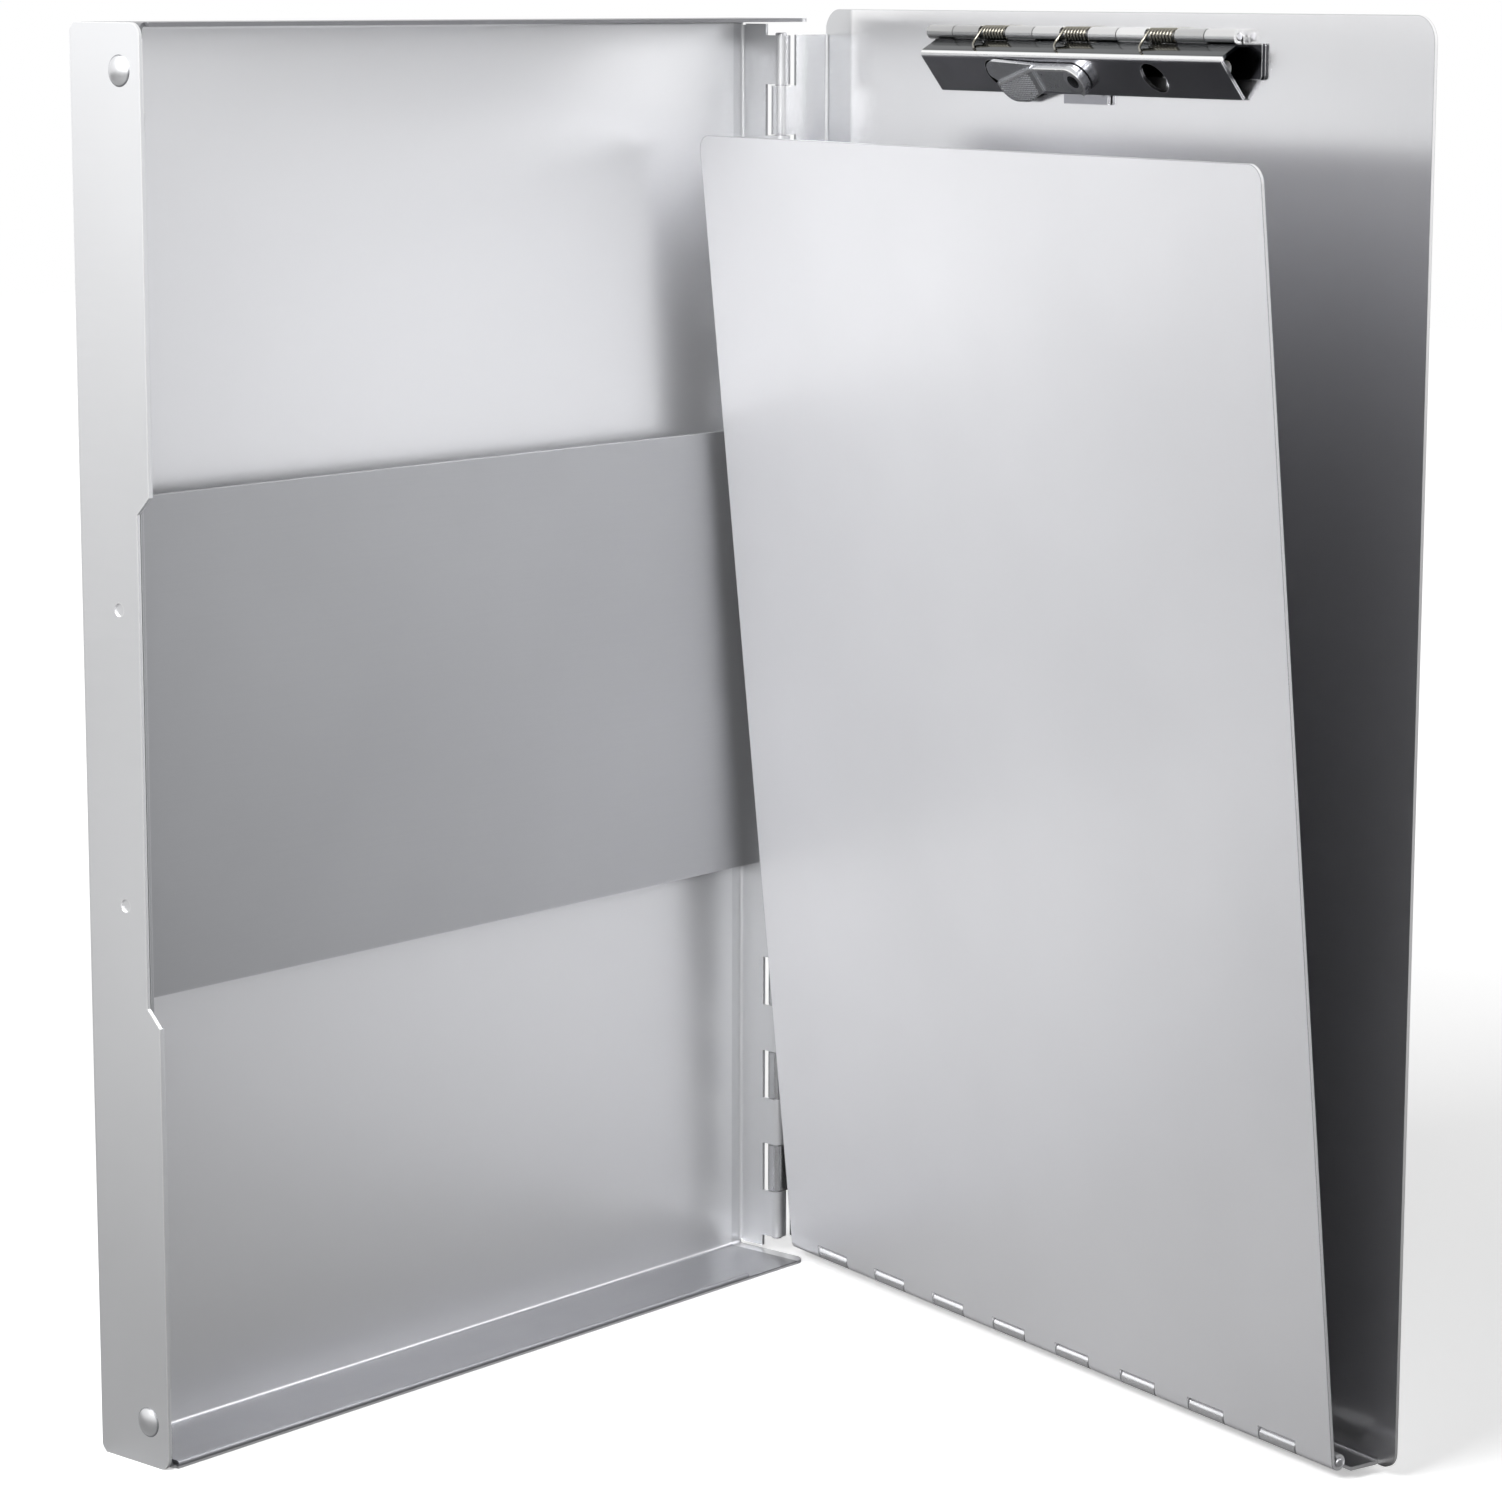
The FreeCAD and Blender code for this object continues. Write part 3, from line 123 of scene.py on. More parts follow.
def new_material(name):
    """A material with a Principled shader, returned with its tree and shader."""
    material = bpy.data.materials.new(name)
    material.use_nodes = True
    shader = material.node_tree.nodes["Principled BSDF"]
    return material, material.node_tree, shader


# %% Sums, masks and mixed colours
MIX_MASK, MIX_FIRST, MIX_SECOND, MIX_COLOUR_OUT = 0, 6, 7, 2


def number(tree, operation, *values):
    """What a Math node makes of its numbers."""
    node = add_node(tree, "Math", operation=operation)
    for socket, value in zip(node.inputs, values):
        feed(tree, socket, value)
    return node.outputs["Value"]


def reach_along(tree, vector, direction):
    """How far a vector reaches along a direction."""
    product = add_node(tree, "VectorMath", operation="DOT_PRODUCT")
    feed(tree, product.inputs[0], vector)
    feed(tree, product.inputs[1], direction)
    return product.outputs["Value"]


def step_between(tree, value, start, end):
    """A mask that runs from 0 at start to 1 at end."""
    ramp = add_node(tree, "MapRange")
    feed(tree, ramp.inputs["From Min"], start)
    feed(tree, ramp.inputs["From Max"], end)
    feed(tree, ramp.inputs["Value"], value)
    return ramp.outputs["Result"]


def spread_over(tree, share, low, high):
    """A number between low and high for a share between 0 and 1."""
    scale = add_node(tree, "MapRange")
    feed(tree, scale.inputs["To Min"], low)
    feed(tree, scale.inputs["To Max"], high)
    feed(tree, scale.inputs["Value"], share)
    return scale.outputs["Result"]


def mixed(tree, mask, first, second):
    """The first colour where a mask is black, the second where it is white."""
    blend = add_node(tree, "Mix", data_type="RGBA")
    feed(tree, blend.inputs[MIX_MASK], mask)
    feed(tree, blend.inputs[MIX_FIRST], first)
    feed(tree, blend.inputs[MIX_SECOND], second)
    return blend.outputs[MIX_COLOUR_OUT]


# %% Noise on a piece
NOISE_DETAIL = 3.0


def object_place(tree):
    """Where a point lies in Object coordinates."""
    return add_node(tree, "TexCoord").outputs["Object"]


def clouds(tree, scale, place=None):
    """Soft blotches, on Object coordinates unless another place is given."""
    noise = add_node(tree, "TexNoise")
    feed(tree, noise.inputs["Scale"], scale)
    feed(tree, noise.inputs["Detail"], NOISE_DETAIL)
    feed(tree, noise.inputs["Vector"], object_place(tree) if place is None else place)
    return noise.outputs["Fac"]


def grain(tree, stretch):
    """Blotches stretched into fine parallel streaks."""
    mapping = add_node(tree, "Mapping")
    feed(tree, mapping.inputs["Scale"], stretch)
    feed(tree, mapping.inputs["Vector"], object_place(tree))
    return clouds(tree, 1.0, mapping.outputs["Vector"])


# %% Edge mask for painted highlight and painted shade on edges
EDGE_SAMPLES = 6
FLAT_MATCH = 0.995
EDGE_MATCH = 0.90


def edge_mask(tree, radius):
    """White on sharp edges and black on flats, from a rounded normal."""
    rounded = add_node(tree, "Bevel", samples=EDGE_SAMPLES)
    feed(tree, rounded.inputs["Radius"], radius)
    true_normal = add_node(tree, "NewGeometry").outputs["Normal"]
    match = reach_along(tree, rounded.outputs["Normal"], true_normal)
    return step_between(tree, match, FLAT_MATCH, EDGE_MATCH)


def clouded(tree, tone, patches, shade, start=0.0, end=1.0):
    """A tone that falls to a share of itself where the patches are black."""
    ramp = add_node(tree, "ValToRGB")
    tones = ([value * shade for value in tone], tone)
    for element, position, colour in zip(ramp.color_ramp.elements, (start, end), tones):
        element.position = position
        element.color = (*colour, 1)
    feed(tree, ramp.inputs["Fac"], patches)
    return ramp.outputs["Color"]


def shifted(tone, gain):
    """A tone made lighter, or darker where the gain is below zero."""
    return [min(1.0, max(0.0, value + gain)) for value in tone]


# %% [markdown]
# ## Satin aluminium sheet
#
# The box is rolled aluminium with a satin finish. Rolled sheet has very fine
# streaks along the rolling direction and faint cloudy patches where it was
# handled. Its sheared edges carry a painted highlight, a bright line, on the
# tray and the band, and painted shade, a dark line, on the cover and the
# plate. The streaks change the roughness and a shallow bump, the patches
# change the colour by a few percent, and the edge mask lightens the colour
# as a painted highlight or darkens it as painted shade.

# %% Satin aluminium
SHEET_PATCHES = 9.0
SHEET_SHADE = 0.94
PATCHES_START, PATCHES_END = 0.35, 0.65
STREAKS_SMOOTHER, STREAKS_ROUGHER = 0.05, 0.06
STREAK_STRENGTH = 0.12
STREAK_DEPTH = 0.04 * MM


def satin_sheet(name, tone, stretch, roughness, painted_edge_gain=0.16, metal=0.85, edge=0.45 * MM):
    """A satin aluminium material with streaks, patches, and a painted highlight on its edges,
    which turns to painted shade when the gain is below zero.
    """
    material, tree, shader = new_material(name)
    streaks = grain(tree, stretch)
    patches = clouds(tree, SHEET_PATCHES)
    colour = clouded(tree, tone, patches, SHEET_SHADE, PATCHES_START, PATCHES_END)
    # The edge mask lightens the colour as a painted highlight, or darkens it as painted shade
    # where the gain is below zero.
    sheet_edges_painted = mixed(tree, edge_mask(tree, edge), colour, shifted(tone, painted_edge_gain))
    feed(tree, shader.inputs["Base Color"], sheet_edges_painted)
    smoothest, roughest = roughness - STREAKS_SMOOTHER, roughness + STREAKS_ROUGHER
    feed(tree, shader.inputs["Roughness"], spread_over(tree, streaks, smoothest, roughest))
    bump = add_node(tree, "Bump")
    feed(tree, bump.inputs["Strength"], STREAK_STRENGTH)
    feed(tree, bump.inputs["Distance"], STREAK_DEPTH)
    feed(tree, bump.inputs["Height"], streaks)
    feed(tree, shader.inputs["Normal"], bump.outputs["Normal"])
    feed(tree, shader.inputs["Metallic"], metal)
    return material


# %% The four sheets
ACROSS_Z = (60.0, 60.0, 5200.0)
ALONG_Z = (5200.0, 5200.0, 60.0)
# Tray and band edges take the default painted highlight. The cover's and the plate's edges
# take painted shade, a dark line.
tray_metal = satin_sheet("tray_aluminium", (0.85, 0.855, 0.87), ACROSS_Z, 0.34, metal=0.8)
band_metal = satin_sheet("band_aluminium", (0.435, 0.44, 0.455), ACROSS_Z, 0.50)
cover_metal = satin_sheet(
    "cover_aluminium", (0.98, 0.98, 0.99), ALONG_Z, 0.22,
    painted_edge_gain=-0.45, metal=1.0, edge=0.3 * MM,
)
plate_metal = satin_sheet(
    "plate_aluminium", (0.93, 0.93, 0.95), ALONG_Z, 0.32,
    painted_edge_gain=-0.60, metal=0.68, edge=0.3 * MM,
)
print("sheet materials:", [m.name for m in (tray_metal, band_metal, cover_metal, plate_metal)])

# %% [markdown]
# ## Faces in painted shade
#
# Some faces carry painted shade, a darker tone where shade falls. The back of
# the writing plate is painted dark, so that the cover reflects shade behind it.
# The insides of the tray's end walls are painted much darker, as the shade in
# the tray's recess. The tray's back panel and the walls on both sides of the
# spine are painted a little darker than the outer wall, as shade in the
# recess and in the corner by the spine. Each sheet is one solid whose mesh
# stays as it was packed, so the material itself has to tell the faces apart.
# It knows the back of the plate by the way the surface looks, and the others
# by their place, through masks that fade over a fraction of a millimetre.

# %% Masks at a place on a piece
FADE = 0.2 * MM


def split(tree, vector):
    """The X, Y and Z outputs of a vector."""
    parts = add_node(tree, "SeparateXYZ")
    feed(tree, parts.inputs["Vector"], vector)
    return parts.outputs


def beyond(tree, value, edge, fade=FADE):
    """A mask that turns white past an edge."""
    return step_between(tree, value, edge, edge + fade)


def short_of(tree, value, edge, fade=FADE):
    """A mask that turns black as the value comes up to an edge."""
    return step_between(tree, value, edge, edge - fade)


def all_of(tree, *masks):
    """White only where every mask is white."""
    result = masks[0]
    for mask in masks[1:]:
        result = number(tree, "MULTIPLY", result, mask)
    return result


def toned_where(material, mask, tone):
    """Blend a material's colour to another tone where a mask is white."""
    tree = material.node_tree
    base_colour = tree.nodes["Principled BSDF"].inputs["Base Color"]
    before = base_colour.links[0].from_socket
    feed(tree, base_colour, mixed(tree, mask, before, tone))


# %% Painted shade on the back of the writing plate
PLATE_FRONT = (-0.9650, -0.2580, 0.0500)
BACK_BEGINS, BACK_FULL = -0.2, -0.6
PLATE_BACK_SHADE_TONE = (0.45, 0.45, 0.47)

plate_tree = plate_metal.node_tree
plate_normal = add_node(plate_tree, "TexCoord").outputs["Normal"]
facing = reach_along(plate_tree, plate_normal, PLATE_FRONT)
plate_back_shade = step_between(plate_tree, facing, BACK_BEGINS, BACK_FULL)
# The back is painted dark, as shade for the cover to reflect.
toned_where(plate_metal, plate_back_shade, PLATE_BACK_SHADE_TONE)
print("dull back on:", plate_metal.name)

# %% Painted shade on faces in the tray
END_WALL_SHADE_TONE = (0.27, 0.272, 0.285)
BACK_PANEL_SHADE_TONE = (0.82, 0.825, 0.84)
HINGE_SHADE_TONE = (0.66, 0.665, 0.68)
FOOT_START, FOOT_END = 0.5 * MM, 3.6 * MM
TOP_START = 322.4 * MM
OUTER_WALL_END = -112.0 * MM
HINGE_WALL_START, HINGE_WALL_FADE = 108.0 * MM, 0.4 * MM
BACK_PANEL_FACE = 11.1 * MM
BEFORE_PANEL, BEHIND_PANEL = 0.3 * MM, 0.4 * MM

tray_tree = tray_metal.node_tree
across, deep, high = split(tray_tree, object_place(tray_tree))
foot_wall = all_of(
    tray_tree,
    beyond(tray_tree, high, FOOT_START),
    short_of(tray_tree, high, FOOT_END),
)
shaded_end_wall_insides = all_of(
    tray_tree,
    number(tray_tree, "ADD", foot_wall, beyond(tray_tree, high, TOP_START)),
    beyond(tray_tree, across, OUTER_WALL_END),
    short_of(tray_tree, deep, BACK_PANEL_FACE),
)
# The insides of the end walls are painted dark, as the shade in the tray's recess.
toned_where(tray_metal, shaded_end_wall_insides, END_WALL_SHADE_TONE)
# The back panel is painted a little darker, as shade in the recess.
shaded_back_panel = all_of(
    tray_tree,
    beyond(tray_tree, deep, BACK_PANEL_FACE - BEFORE_PANEL),
    short_of(tray_tree, deep, BACK_PANEL_FACE + BEHIND_PANEL),
)
toned_where(tray_metal, shaded_back_panel, BACK_PANEL_SHADE_TONE)
# The hinge wall is painted darker, as shade in the corner by the spine.
shaded_hinge_wall = beyond(tray_tree, across, HINGE_WALL_START, HINGE_WALL_FADE)
toned_where(tray_metal, shaded_hinge_wall, HINGE_SHADE_TONE)
print("dull end walls, back panel and hinge wall on:", tray_metal.name)

# %% [markdown]
# ## Directions that belong to the cover
#
# The cover and its clip were drawn with the cover swung open by 75 degrees,
# so their edges don't run along the Object coordinates. A Mapping node of
# the texture kind takes away the spine's place and turns the coordinates
# back by that angle. After it, X runs along the cover to the spine, Y stands
# off the cover and Z points up, so a mask needs only plain numbers again.

# %% The cover's own directions
MAKING_OPEN = math.radians(75)
SPINE_PLACE = (0.1143, 0.0003, 0.0)


def cover_directions(tree):
    """Object coordinates turned to the cover: X along it, Y off it, Z up."""
    mapping = add_node(tree, "Mapping", vector_type="TEXTURE")
    feed(tree, mapping.inputs["Location"], SPINE_PLACE)
    feed(tree, mapping.inputs["Rotation"], (0, 0, MAKING_OPEN))
    feed(tree, mapping.inputs["Vector"], object_place(tree))
    return split(tree, mapping.outputs["Vector"])


# %% Painted shade on the strip of the cover beside the spine
SPINE_STRIP_START, SPINE_STRIP_FADE = -13.5 * MM, 1.0 * MM

cover_tree = cover_metal.node_tree
along_cover = cover_directions(cover_tree)["X"]
shaded_spine_strip = beyond(cover_tree, along_cover, SPINE_STRIP_START, SPINE_STRIP_FADE)
# The strip by the spine takes the same painted shade as the hinge wall.
toned_where(cover_metal, shaded_spine_strip, HINGE_SHADE_TONE)
print("dull strip on:", cover_metal.name)

# %% [markdown]
# ## Plated and drawn steel
#
# The clip is nickel-plated steel. Plating is smoother than satin aluminium,
# so its roughness is low and its reflections are crisp, and its edges carry a
# painted highlight. The springs are drawn wire with a warm, olive tint. The
# rivets share the same node graph with a paler, rougher aluminium tone. The
# tray's rivets carry painted shade, a dark ring round the head, and the clip's
# rivets are paler still and barely metallic, a painted highlight.

# %% Steel finishes
STEEL_PATCHES = 160.0
STEEL_SHADE = 0.88
POLISH_PATCHES = 900.0
POLISH_SMOOTHER, POLISH_ROUGHER = 0.05, 0.08
SMOOTHEST_POLISH = 0.03


def plated_steel(name, tone, roughness, painted_edge_shift=0.12, edge=0.3 * MM, metal=1.0):
    """Nickel-plated steel with a slightly uneven polish and a painted highlight on its edges,
    which turns to painted shade when the shift is below zero.
    """
    material, tree, shader = new_material(name)
    colour = clouded(tree, tone, clouds(tree, STEEL_PATCHES), STEEL_SHADE)
    # The edge mask lightens the colour as a painted highlight, or darkens it as painted shade
    # where the shift is below zero.
    steel_edges_painted = mixed(tree, edge_mask(tree, edge), colour, shifted(tone, painted_edge_shift))
    feed(tree, shader.inputs["Base Color"], steel_edges_painted)
    smoothest = max(SMOOTHEST_POLISH, roughness - POLISH_SMOOTHER)
    polish = clouds(tree, POLISH_PATCHES)
    rough = spread_over(tree, polish, smoothest, roughness + POLISH_ROUGHER)
    feed(tree, shader.inputs["Roughness"], rough)
    feed(tree, shader.inputs["Metallic"], metal)
    return material


# %% Rivets, pins, springs, eyelet and lever
# The tray's rivets take painted shade, a dark ring where the head meets the wall. The positive
# shifts below are painted highlights on edges.
rivet_metal = plated_steel(
    "rivet_aluminium", (0.78, 0.785, 0.80), 0.34, painted_edge_shift=-0.5, edge=0.6 * MM)
# The clip's rivets are paler and barely metallic. This is a painted highlight, so their heads
# show bright in the shade under the jaw.
clip_rivet_painted_light = plated_steel("clip_rivet_aluminium", (0.95, 0.95, 0.95), 0.40, metal=0.2)
pin_steel = plated_steel("pin_steel", (0.62, 0.62, 0.64), 0.30)
spring_wire = plated_steel("spring_wire", (0.28, 0.265, 0.225), 0.20)
eyelet_nickel = plated_steel("eyelet_nickel", (0.78, 0.79, 0.81), 0.18, painted_edge_shift=0.2)
lever_nickel = plated_steel("lever_nickel", (0.66, 0.67, 0.69), 0.24, painted_edge_shift=0.30)
print("plain steel materials:", [m.name for m in (pin_steel, spring_wire, lever_nickel)])

# %% [markdown]
# ## Bright barrels on dark leaves
#
# The clip's barrels are brighter than its leaves, and the base leaf is almost
# black. A leaf and its barrels are one solid, so the material tells them apart
# by the distance from the pin's axis, which runs along the cover. Each barrel
# was rolled and polished by itself, so a random number for each step along
# the pin changes its tone.

# %% A mask round a line along the cover
def near_line(tree, parts, line, inner, outer):
    """White within a distance of a line that runs along the cover."""
    out, up_to_line = line
    off = number(tree, "SUBTRACT", parts["Y"], out)
    rise = number(tree, "SUBTRACT", parts["Z"], up_to_line)
    off_square = number(tree, "MULTIPLY", off, off)
    rise_square = number(tree, "MULTIPLY", rise, rise)
    distance = number(tree, "SQRT", number(tree, "ADD", off_square, rise_square))
    return step_between(tree, distance, outer, inner)


# %% Leaves with bright barrels
PIN_LINE = (-10.75 * MM, 322.95 * MM)
BARREL_INNER, BARREL_OUTER = 1.85 * MM, 2.05 * MM
BARREL_PITCH = 10.6545 * MM
BARRELS_START = 50.4 * MM
BARREL_TONES = (0.42, 0.88)
LEAF_EDGE = 0.35 * MM


def barrel_tone(tree, parts):
    """A grey that changes from barrel to barrel along the pin."""
    from_start = number(tree, "ADD", parts["X"], BARRELS_START)
    barrel = number(tree, "FLOOR", number(tree, "DIVIDE", from_start, BARREL_PITCH))
    pick = add_node(tree, "TexWhiteNoise", noise_dimensions="1D")
    feed(tree, pick.inputs["W"], barrel)
    return spread_over(tree, pick.outputs["Value"], *BARREL_TONES)


def leaf_steel(name, tone, roughness, painted_edge_shift):
    """Plated steel that is bright near the clip's pin and dark on the leaf."""
    material = plated_steel(name, tone, roughness, painted_edge_shift, LEAF_EDGE)
    tree = material.node_tree
    parts = cover_directions(tree)
    barrels = near_line(tree, parts, PIN_LINE, BARREL_INNER, BARREL_OUTER)
    toned_where(material, barrels, barrel_tone(tree, parts))
    return material


# The leaves' edges take a painted highlight, and the base leaf's highlight is a strong one.
base_nickel = leaf_steel("base_nickel", (0.045, 0.045, 0.05), 0.16, 0.60)
jaw_nickel = leaf_steel("jaw_nickel", (0.41, 0.41, 0.435), 0.20, 0.50)
print("leaf materials:", base_nickel.name, jaw_nickel.name)

# %% [markdown]
# ## The jaw's upper face in painted shade and its bend in painted highlight
#
# The jaw bends along one line. The bend carries a painted highlight, a bright
# strip, and the face above it carries painted shade, a near-black tone, with a
# smoother polish. Both masks follow that line: the upper face is what lies
# higher than the bend and off the barrels, and the highlight strip is what
# lies within a millimetre of it. An edge mask would miss the bend, because it
# is round and not sharp.

# %% Painted shade on the upper face and painted highlight on the bend
BEND_LINE = (-5.03 * MM, 317.98 * MM)
BEND_INNER, BEND_OUTER = 0.55 * MM, 0.85 * MM
UPPER_BEGINS = BEND_LINE[1] - 0.2 * MM
UPPER_FULL = BEND_LINE[1] + 0.3 * MM
UPPER_SHADE_TONE = (0.05, 0.055, 0.058)
UPPER_POLISH = 0.75
# A near-white tone, the painted highlight on the bend and on the lever's rim.
HIGHLIGHT_TONE = (0.95, 0.95, 0.95)

jaw_tree = jaw_nickel.node_tree
jaw_parts = cover_directions(jaw_tree)
above_bend = step_between(jaw_tree, jaw_parts["Z"], UPPER_BEGINS, UPPER_FULL)
jaw_barrels = near_line(jaw_tree, jaw_parts, PIN_LINE, BARREL_INNER, BARREL_OUTER)
off_barrels = number(jaw_tree, "SUBTRACT", 1.0, jaw_barrels)
upper_face = all_of(jaw_tree, above_bend, off_barrels)
# The upper face is painted near black, as shade.
toned_where(jaw_nickel, upper_face, UPPER_SHADE_TONE)
# The bend is painted near white, as a highlight.
bend = near_line(jaw_tree, jaw_parts, BEND_LINE, BEND_INNER, BEND_OUTER)
toned_where(jaw_nickel, bend, HIGHLIGHT_TONE)

jaw_roughness = jaw_tree.nodes["Principled BSDF"].inputs["Roughness"]
rough_before = jaw_roughness.links[0].from_socket
taken_off = number(jaw_tree, "MULTIPLY", upper_face, UPPER_POLISH)
kept_rough = number(jaw_tree, "SUBTRACT", 1.0, taken_off)
feed(jaw_tree, jaw_roughness, number(jaw_tree, "MULTIPLY", rough_before, kept_rough))
print("dark upper face and bright bend on:", jaw_nickel.name)

# %% [markdown]
# ## The lever's rim in painted highlight
#
# The lever is stamped from one sheet, and the flat top of its rim carries a
# painted highlight, a bright line. An edge mask alone would leave that flat
# dark, so the colour here follows how far the surface stands out from the
# pivot, in the direction in which the lever faces.

# %% The lever's rim
LEVER_PLACE = Vector((93.87688, -109.86799, 313.17486)) * MM
LEVER_OUT = Vector((-0.760993, 0.203908, -0.615882))
RIM_FACE = 3.0 * MM
RIM_BEGINS, RIM_FULL = RIM_FACE - 0.5 * MM, RIM_FACE - 0.2 * MM

rim_tree = lever_nickel.node_tree
from_pivot = add_node(rim_tree, "VectorMath", operation="SUBTRACT")
feed(rim_tree, from_pivot.inputs[0], object_place(rim_tree))
feed(rim_tree, from_pivot.inputs[1], LEVER_PLACE)
stand_out = reach_along(rim_tree, from_pivot.outputs["Vector"], LEVER_OUT)
rim_highlight = step_between(rim_tree, stand_out, RIM_BEGINS, RIM_FULL)
# The rim's top is painted near white, as a highlight.
toned_where(lever_nickel, rim_highlight, HIGHLIGHT_TONE)
print("bright rim on:", lever_nickel.name)

# %% [markdown]
# ## Give each node its finish
#
# The solids of the sheet-metal pieces already have their hems, bends and
# curled barrels, so they stay, and only their material slots change.

# %% Assign the finishes
FINISHES = {
    "tray_shell": tray_metal, "cross_band": band_metal,
    "lower_corner_rivet": rivet_metal, "upper_corner_rivet": rivet_metal,
    "spine_pin": pin_steel, "cover_shell": cover_metal, "lower_hinge_pin": pin_steel,
    "writing_plate": plate_metal, "clip_base": base_nickel,
    "clip_base_rivet_left": clip_rivet_painted_light, "clip_base_rivet_right": clip_rivet_painted_light,
    "clip_pin": pin_steel, "clip_jaw": jaw_nickel, "clip_spring_left": spring_wire,
    "clip_spring_middle": spring_wire, "clip_spring_right": spring_wire,
    "clip_lever": lever_nickel, "lever_eyelet": eyelet_nickel,
}
for node_name, finish in FINISHES.items():
    piece = nodes[node_name]
    piece.data.materials.clear()
    piece.data.materials.append(finish)
print("finished nodes:", len(FINISHES), "of", len(nodes))

# %% [markdown]
# ## The knurled thumb pad
#
# The lever's pad is knurled so that a thumb doesn't slip. A knurl is a field
# of tiny pyramids. They could be a bump in the material, but real pyramids
# catch the light on their edges. Each one is a cone with four sides. A ray
# shot at the lever tells where the flat of the pad is, so the field stops
# at the pad's rounded outline by itself.

# %% Where the pad's flat lies
LEVER_ALONG = Vector((-0.258819, -0.965926, 0.0))
LEVER_DOWN = Vector((0.594897, -0.159402, -0.787838))
PAD_FACE = 2.2 * MM
PAD_TOLERANCE = 0.02 * MM
RAY_START = 20 * MM

lever_faces = BVHTree.FromObject(nodes["clip_lever"], bpy.context.evaluated_depsgraph_get())


def on_pad(along, down):
    """Whether the pad's flat lies under a place drawn on the lever."""
    start = LEVER_PLACE + LEVER_ALONG * along + LEVER_DOWN * down + LEVER_OUT * RAY_START
    place = lever_faces.ray_cast(start, -LEVER_OUT)[0]
    if place is None:
        return False
    return abs((place - LEVER_PLACE).dot(LEVER_OUT) - PAD_FACE) < PAD_TOLERANCE


# %% One pyramid
KNURL_RADIUS = 0.36 * MM
KNURL_TIP = 0.05 * MM
KNURL_HEIGHT = 0.16 * MM
FOOT_SUNK = 0.02 * MM


def add_pyramid(mesh, along, down):
    """One pyramid of the knurl, its foot just inside the pad."""
    place = LEVER_PLACE + LEVER_ALONG * along + LEVER_DOWN * down
    place += LEVER_OUT * (PAD_FACE + KNURL_HEIGHT / 2 - FOOT_SUNK)
    turn_out = Matrix((LEVER_ALONG, LEVER_DOWN, LEVER_OUT)).transposed().to_4x4()
    bmesh.ops.create_cone(
        mesh, cap_ends=True, segments=4, radius1=KNURL_RADIUS, radius2=KNURL_TIP,
        depth=KNURL_HEIGHT, matrix=Matrix.Translation(place) @ turn_out)


# %% The field of pyramids
KNURL_PITCH = 0.62 * MM
KNURL_CLEAR = 0.35 * MM
FIELD_LEFT, FIELD_RIGHT = -30.6 * MM, -15.5 * MM
FIELD_TOP, FIELD_BOTTOM = -1.6 * MM, 7.2 * MM

rows = int((FIELD_BOTTOM - FIELD_TOP) / KNURL_PITCH)
columns = int((FIELD_RIGHT - FIELD_LEFT) / KNURL_PITCH)
corners = [(-KNURL_CLEAR, 0), (KNURL_CLEAR, 0), (0, -KNURL_CLEAR), (0, KNURL_CLEAR)]
knurl_mesh = bmesh.new()
pyramids = 0
for row in range(rows):
    for column in range(columns):
        along = FIELD_LEFT + (column + 0.5 * (row % 2)) * KNURL_PITCH
        down = FIELD_TOP + row * KNURL_PITCH
        if all(on_pad(along + x, down + y) for x, y in corners):
            add_pyramid(knurl_mesh, along, down)
            pyramids += 1
bmesh.ops.recalc_face_normals(knurl_mesh, faces=knurl_mesh.faces)
print("pyramids on the pad:", pyramids)


# %% The knurl rides on the lever
def new_object(name, mesh):
    """A finished bmesh as an object at the origin."""
    data = bpy.data.meshes.new(name)
    mesh.to_mesh(data)
    mesh.free()
    made = bpy.data.objects.new(name, data)
    bpy.context.collection.objects.link(made)
    return made


knurl = new_object("lever_knurl", knurl_mesh)
knurl.data.materials.append(lever_nickel)
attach(knurl, "lever")
print("knurl faces:", len(knurl.data.polygons))

# %% [markdown]
# ## The floor
#
# The product stands on a white sweep that takes a soft shadow. The camera
# sees the floor near white. Reflections and bounced light see another tone,
# painted shade that is dark under the box and pale further away, because
# polished sheet shows what stands round it, and a floor that is white
# throughout would make the cover's lower half flat and bright. Light Path
# tells the two kinds of ray apart, and a glow that only the camera sees,
# stronger further out, takes the floor to plain white.

# %% A plain floor
FLOOR_SIZE = 6.0
FLOOR_ROUGHNESS = 0.9

floor_mesh = bmesh.new()
bmesh.ops.create_grid(floor_mesh, x_segments=1, y_segments=1, size=FLOOR_SIZE / 2)
floor = new_object("floor", floor_mesh)
floor_material, floor_tree, floor_shader = new_material("white_floor")
feed(floor_tree, floor_shader.inputs["Roughness"], FLOOR_ROUGHNESS)
feed(floor_tree, floor_shader.inputs["Specular IOR Level"], 0.0)
floor.data.materials.append(floor_material)
print("floor side:", FLOOR_SIZE)

# %% The floor's tone to reflections and to the camera
# Reflections and bounced light see the floor painted dark near the box, as shade under it.
NEAR_REACH, NEAR_SHADE_TONE = 0.20, 0.27
FAR_REACH, FAR_TONE = 0.85, 0.92
SEEN_TONE = (0.90, 0.90, 0.90)
GLOW_GAIN, GLOW_BASE = 0.62, 0.25

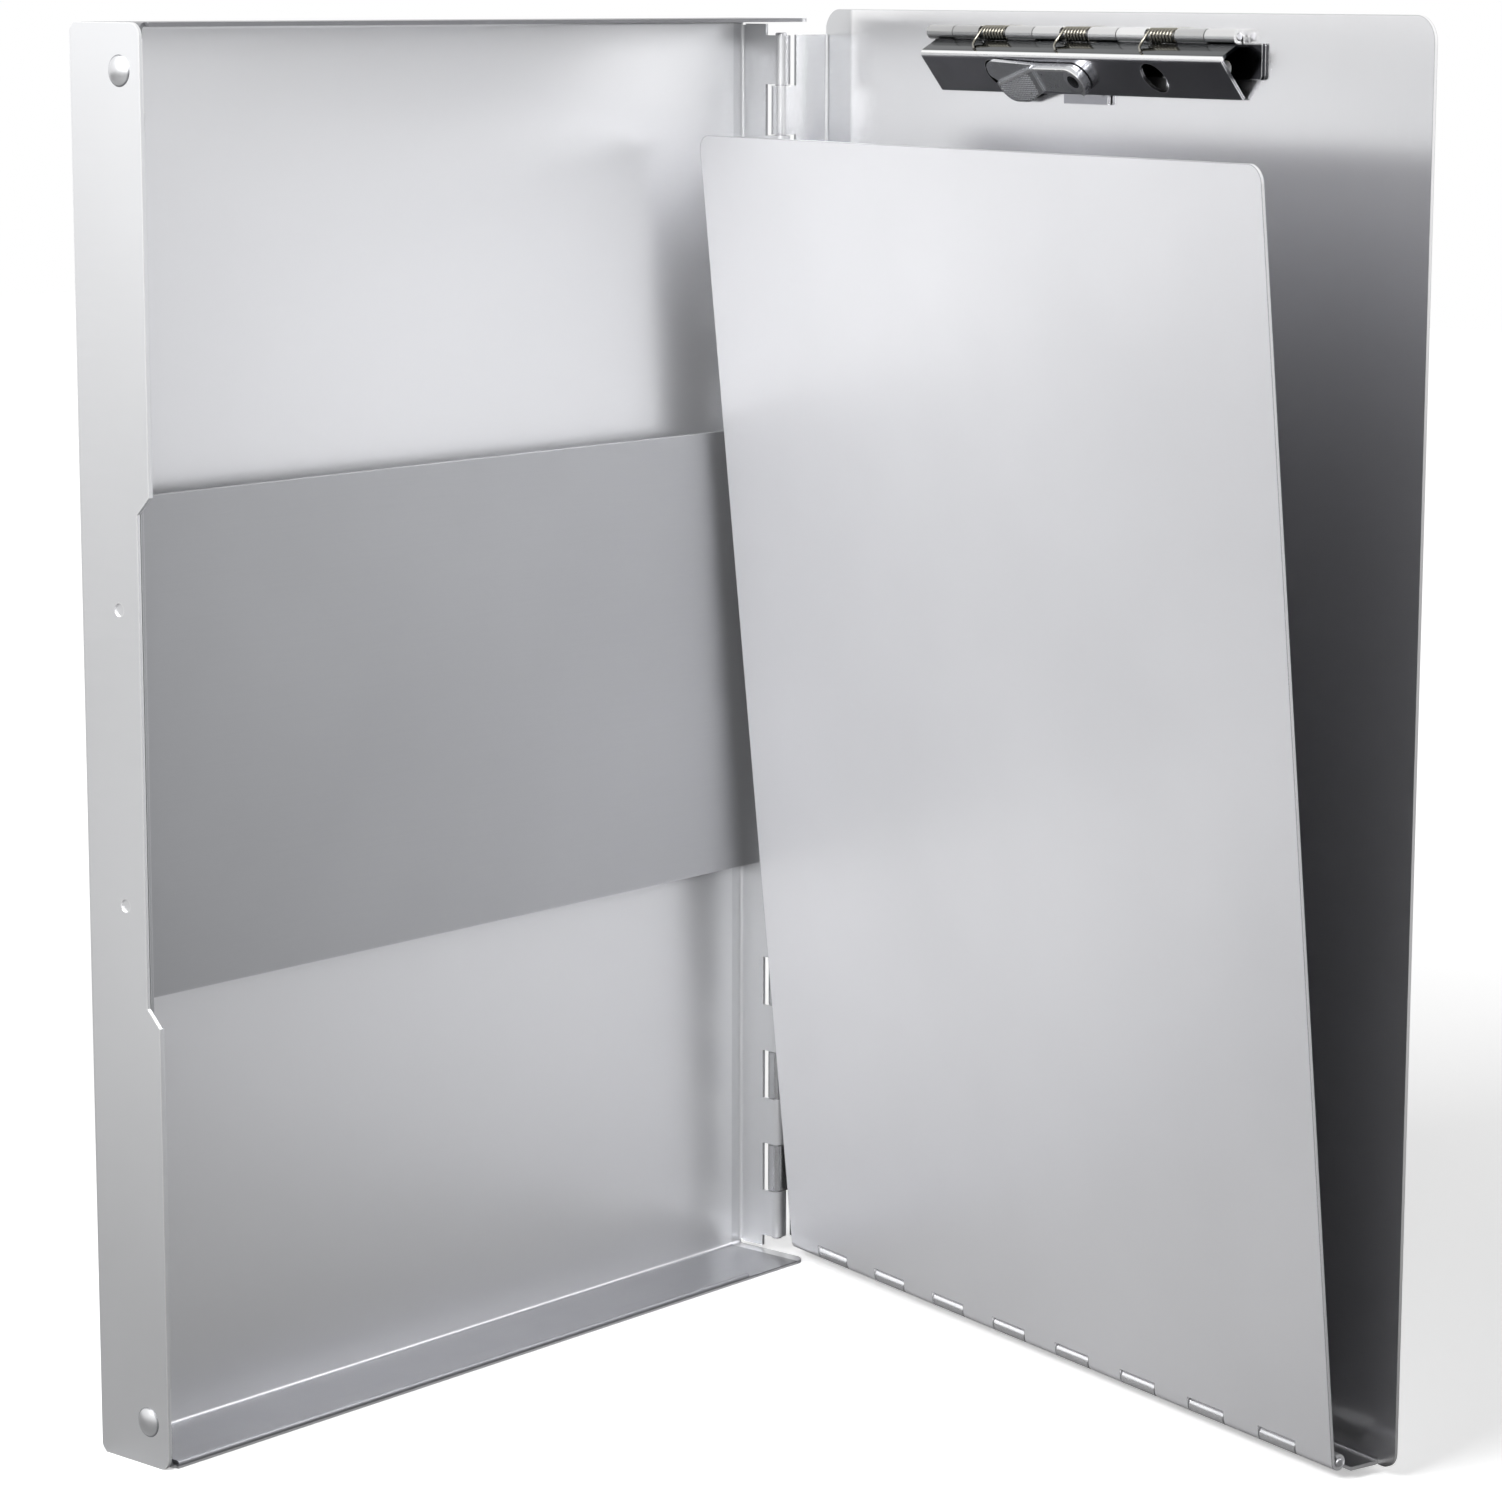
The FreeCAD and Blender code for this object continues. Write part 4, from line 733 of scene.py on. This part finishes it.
reach = add_node(floor_tree, "VectorMath", operation="LENGTH")
feed(floor_tree, reach.inputs[0], object_place(floor_tree))
fade = add_node(floor_tree, "MapRange", interpolation_type="SMOOTHSTEP")
feed(floor_tree, fade.inputs["From Min"], NEAR_REACH)
feed(floor_tree, fade.inputs["From Max"], FAR_REACH)
feed(floor_tree, fade.inputs["To Min"], NEAR_SHADE_TONE)
feed(floor_tree, fade.inputs["To Max"], FAR_TONE)
feed(floor_tree, fade.inputs["Value"], reach.outputs["Value"])
to_camera = add_node(floor_tree, "LightPath").outputs["Is Camera Ray"]
floor_colour = mixed(floor_tree, to_camera, fade.outputs["Result"], SEEN_TONE)
feed(floor_tree, floor_shader.inputs["Base Color"], floor_colour)
glow = number(floor_tree, "MULTIPLY_ADD", fade.outputs["Result"], GLOW_GAIN, GLOW_BASE)
seen_glow = number(floor_tree, "MULTIPLY", to_camera, glow)
feed(floor_tree, floor_shader.inputs["Emission Color"], (1, 1, 1))
feed(floor_tree, floor_shader.inputs["Emission Strength"], seen_glow)
print("floor tones:", NEAR_SHADE_TONE, "to", FAR_TONE)

# %% [markdown]
# ## World and lamps
#
# The world is white to the camera, to reflections and through glass, and
# dimmer as a lamp, so the lamps shape the folds. The lamp above and to the
# left gives the main light, a broad weak one in front opens the shadows, and
# a small one with a narrow spread reaches into the corner between the tray
# and the cover.

# %% World
WORLD_AS_LAMP, WORLD_SEEN = 0.30, 1.0

world = bpy.data.worlds.new("studio")
bpy.context.scene.world = world
world.use_nodes = True
sky = world.node_tree
background = sky.nodes["Background"]
rays = add_node(sky, "LightPath").outputs
seen = number(sky, "MAXIMUM", rays["Is Camera Ray"], rays["Is Glossy Ray"])
seen = number(sky, "MAXIMUM", seen, rays["Is Transmission Ray"])
feed(sky, background.inputs["Strength"], spread_over(sky, seen, WORLD_AS_LAMP, WORLD_SEEN))
feed(sky, background.inputs["Color"], (1, 1, 1))
print("world strength as a lamp:", WORLD_AS_LAMP)


# %% Lamps
def area_lamp(name, place, target, width, height, watts, spread):
    """A soft rectangular lamp that faces a point."""
    data = bpy.data.lights.new(name, "AREA")
    data.shape = "RECTANGLE"
    data.size = width
    data.size_y = height
    data.energy = watts
    data.spread = math.radians(spread)
    lamp = bpy.data.objects.new(name, data)
    lamp.location = place
    towards = Vector(target) - Vector(place)
    lamp.rotation_euler = towards.to_track_quat("-Z", "Y").to_euler()
    bpy.context.collection.objects.link(lamp)


LAMPS = (  # name, place, target, width, height, watts, spread in degrees
    ("lamp_left", (-0.55, -0.02, 0.62), (0.08, -0.08, 0.26), 0.50, 0.40, 5.8, 180),
    ("lamp_front", (-0.30, -1.40, 0.45), (0.00, 0.00, 0.15), 1.00, 0.70, 0.8, 180),
    ("lamp_corner", (-0.52, -0.50, 0.36), (0.09, -0.03, 0.15), 0.18, 0.25, 0.105, 20),
)
for lamp_values in LAMPS:
    area_lamp(*lamp_values)
print("lamps:", [lamp_values[0] for lamp_values in LAMPS])
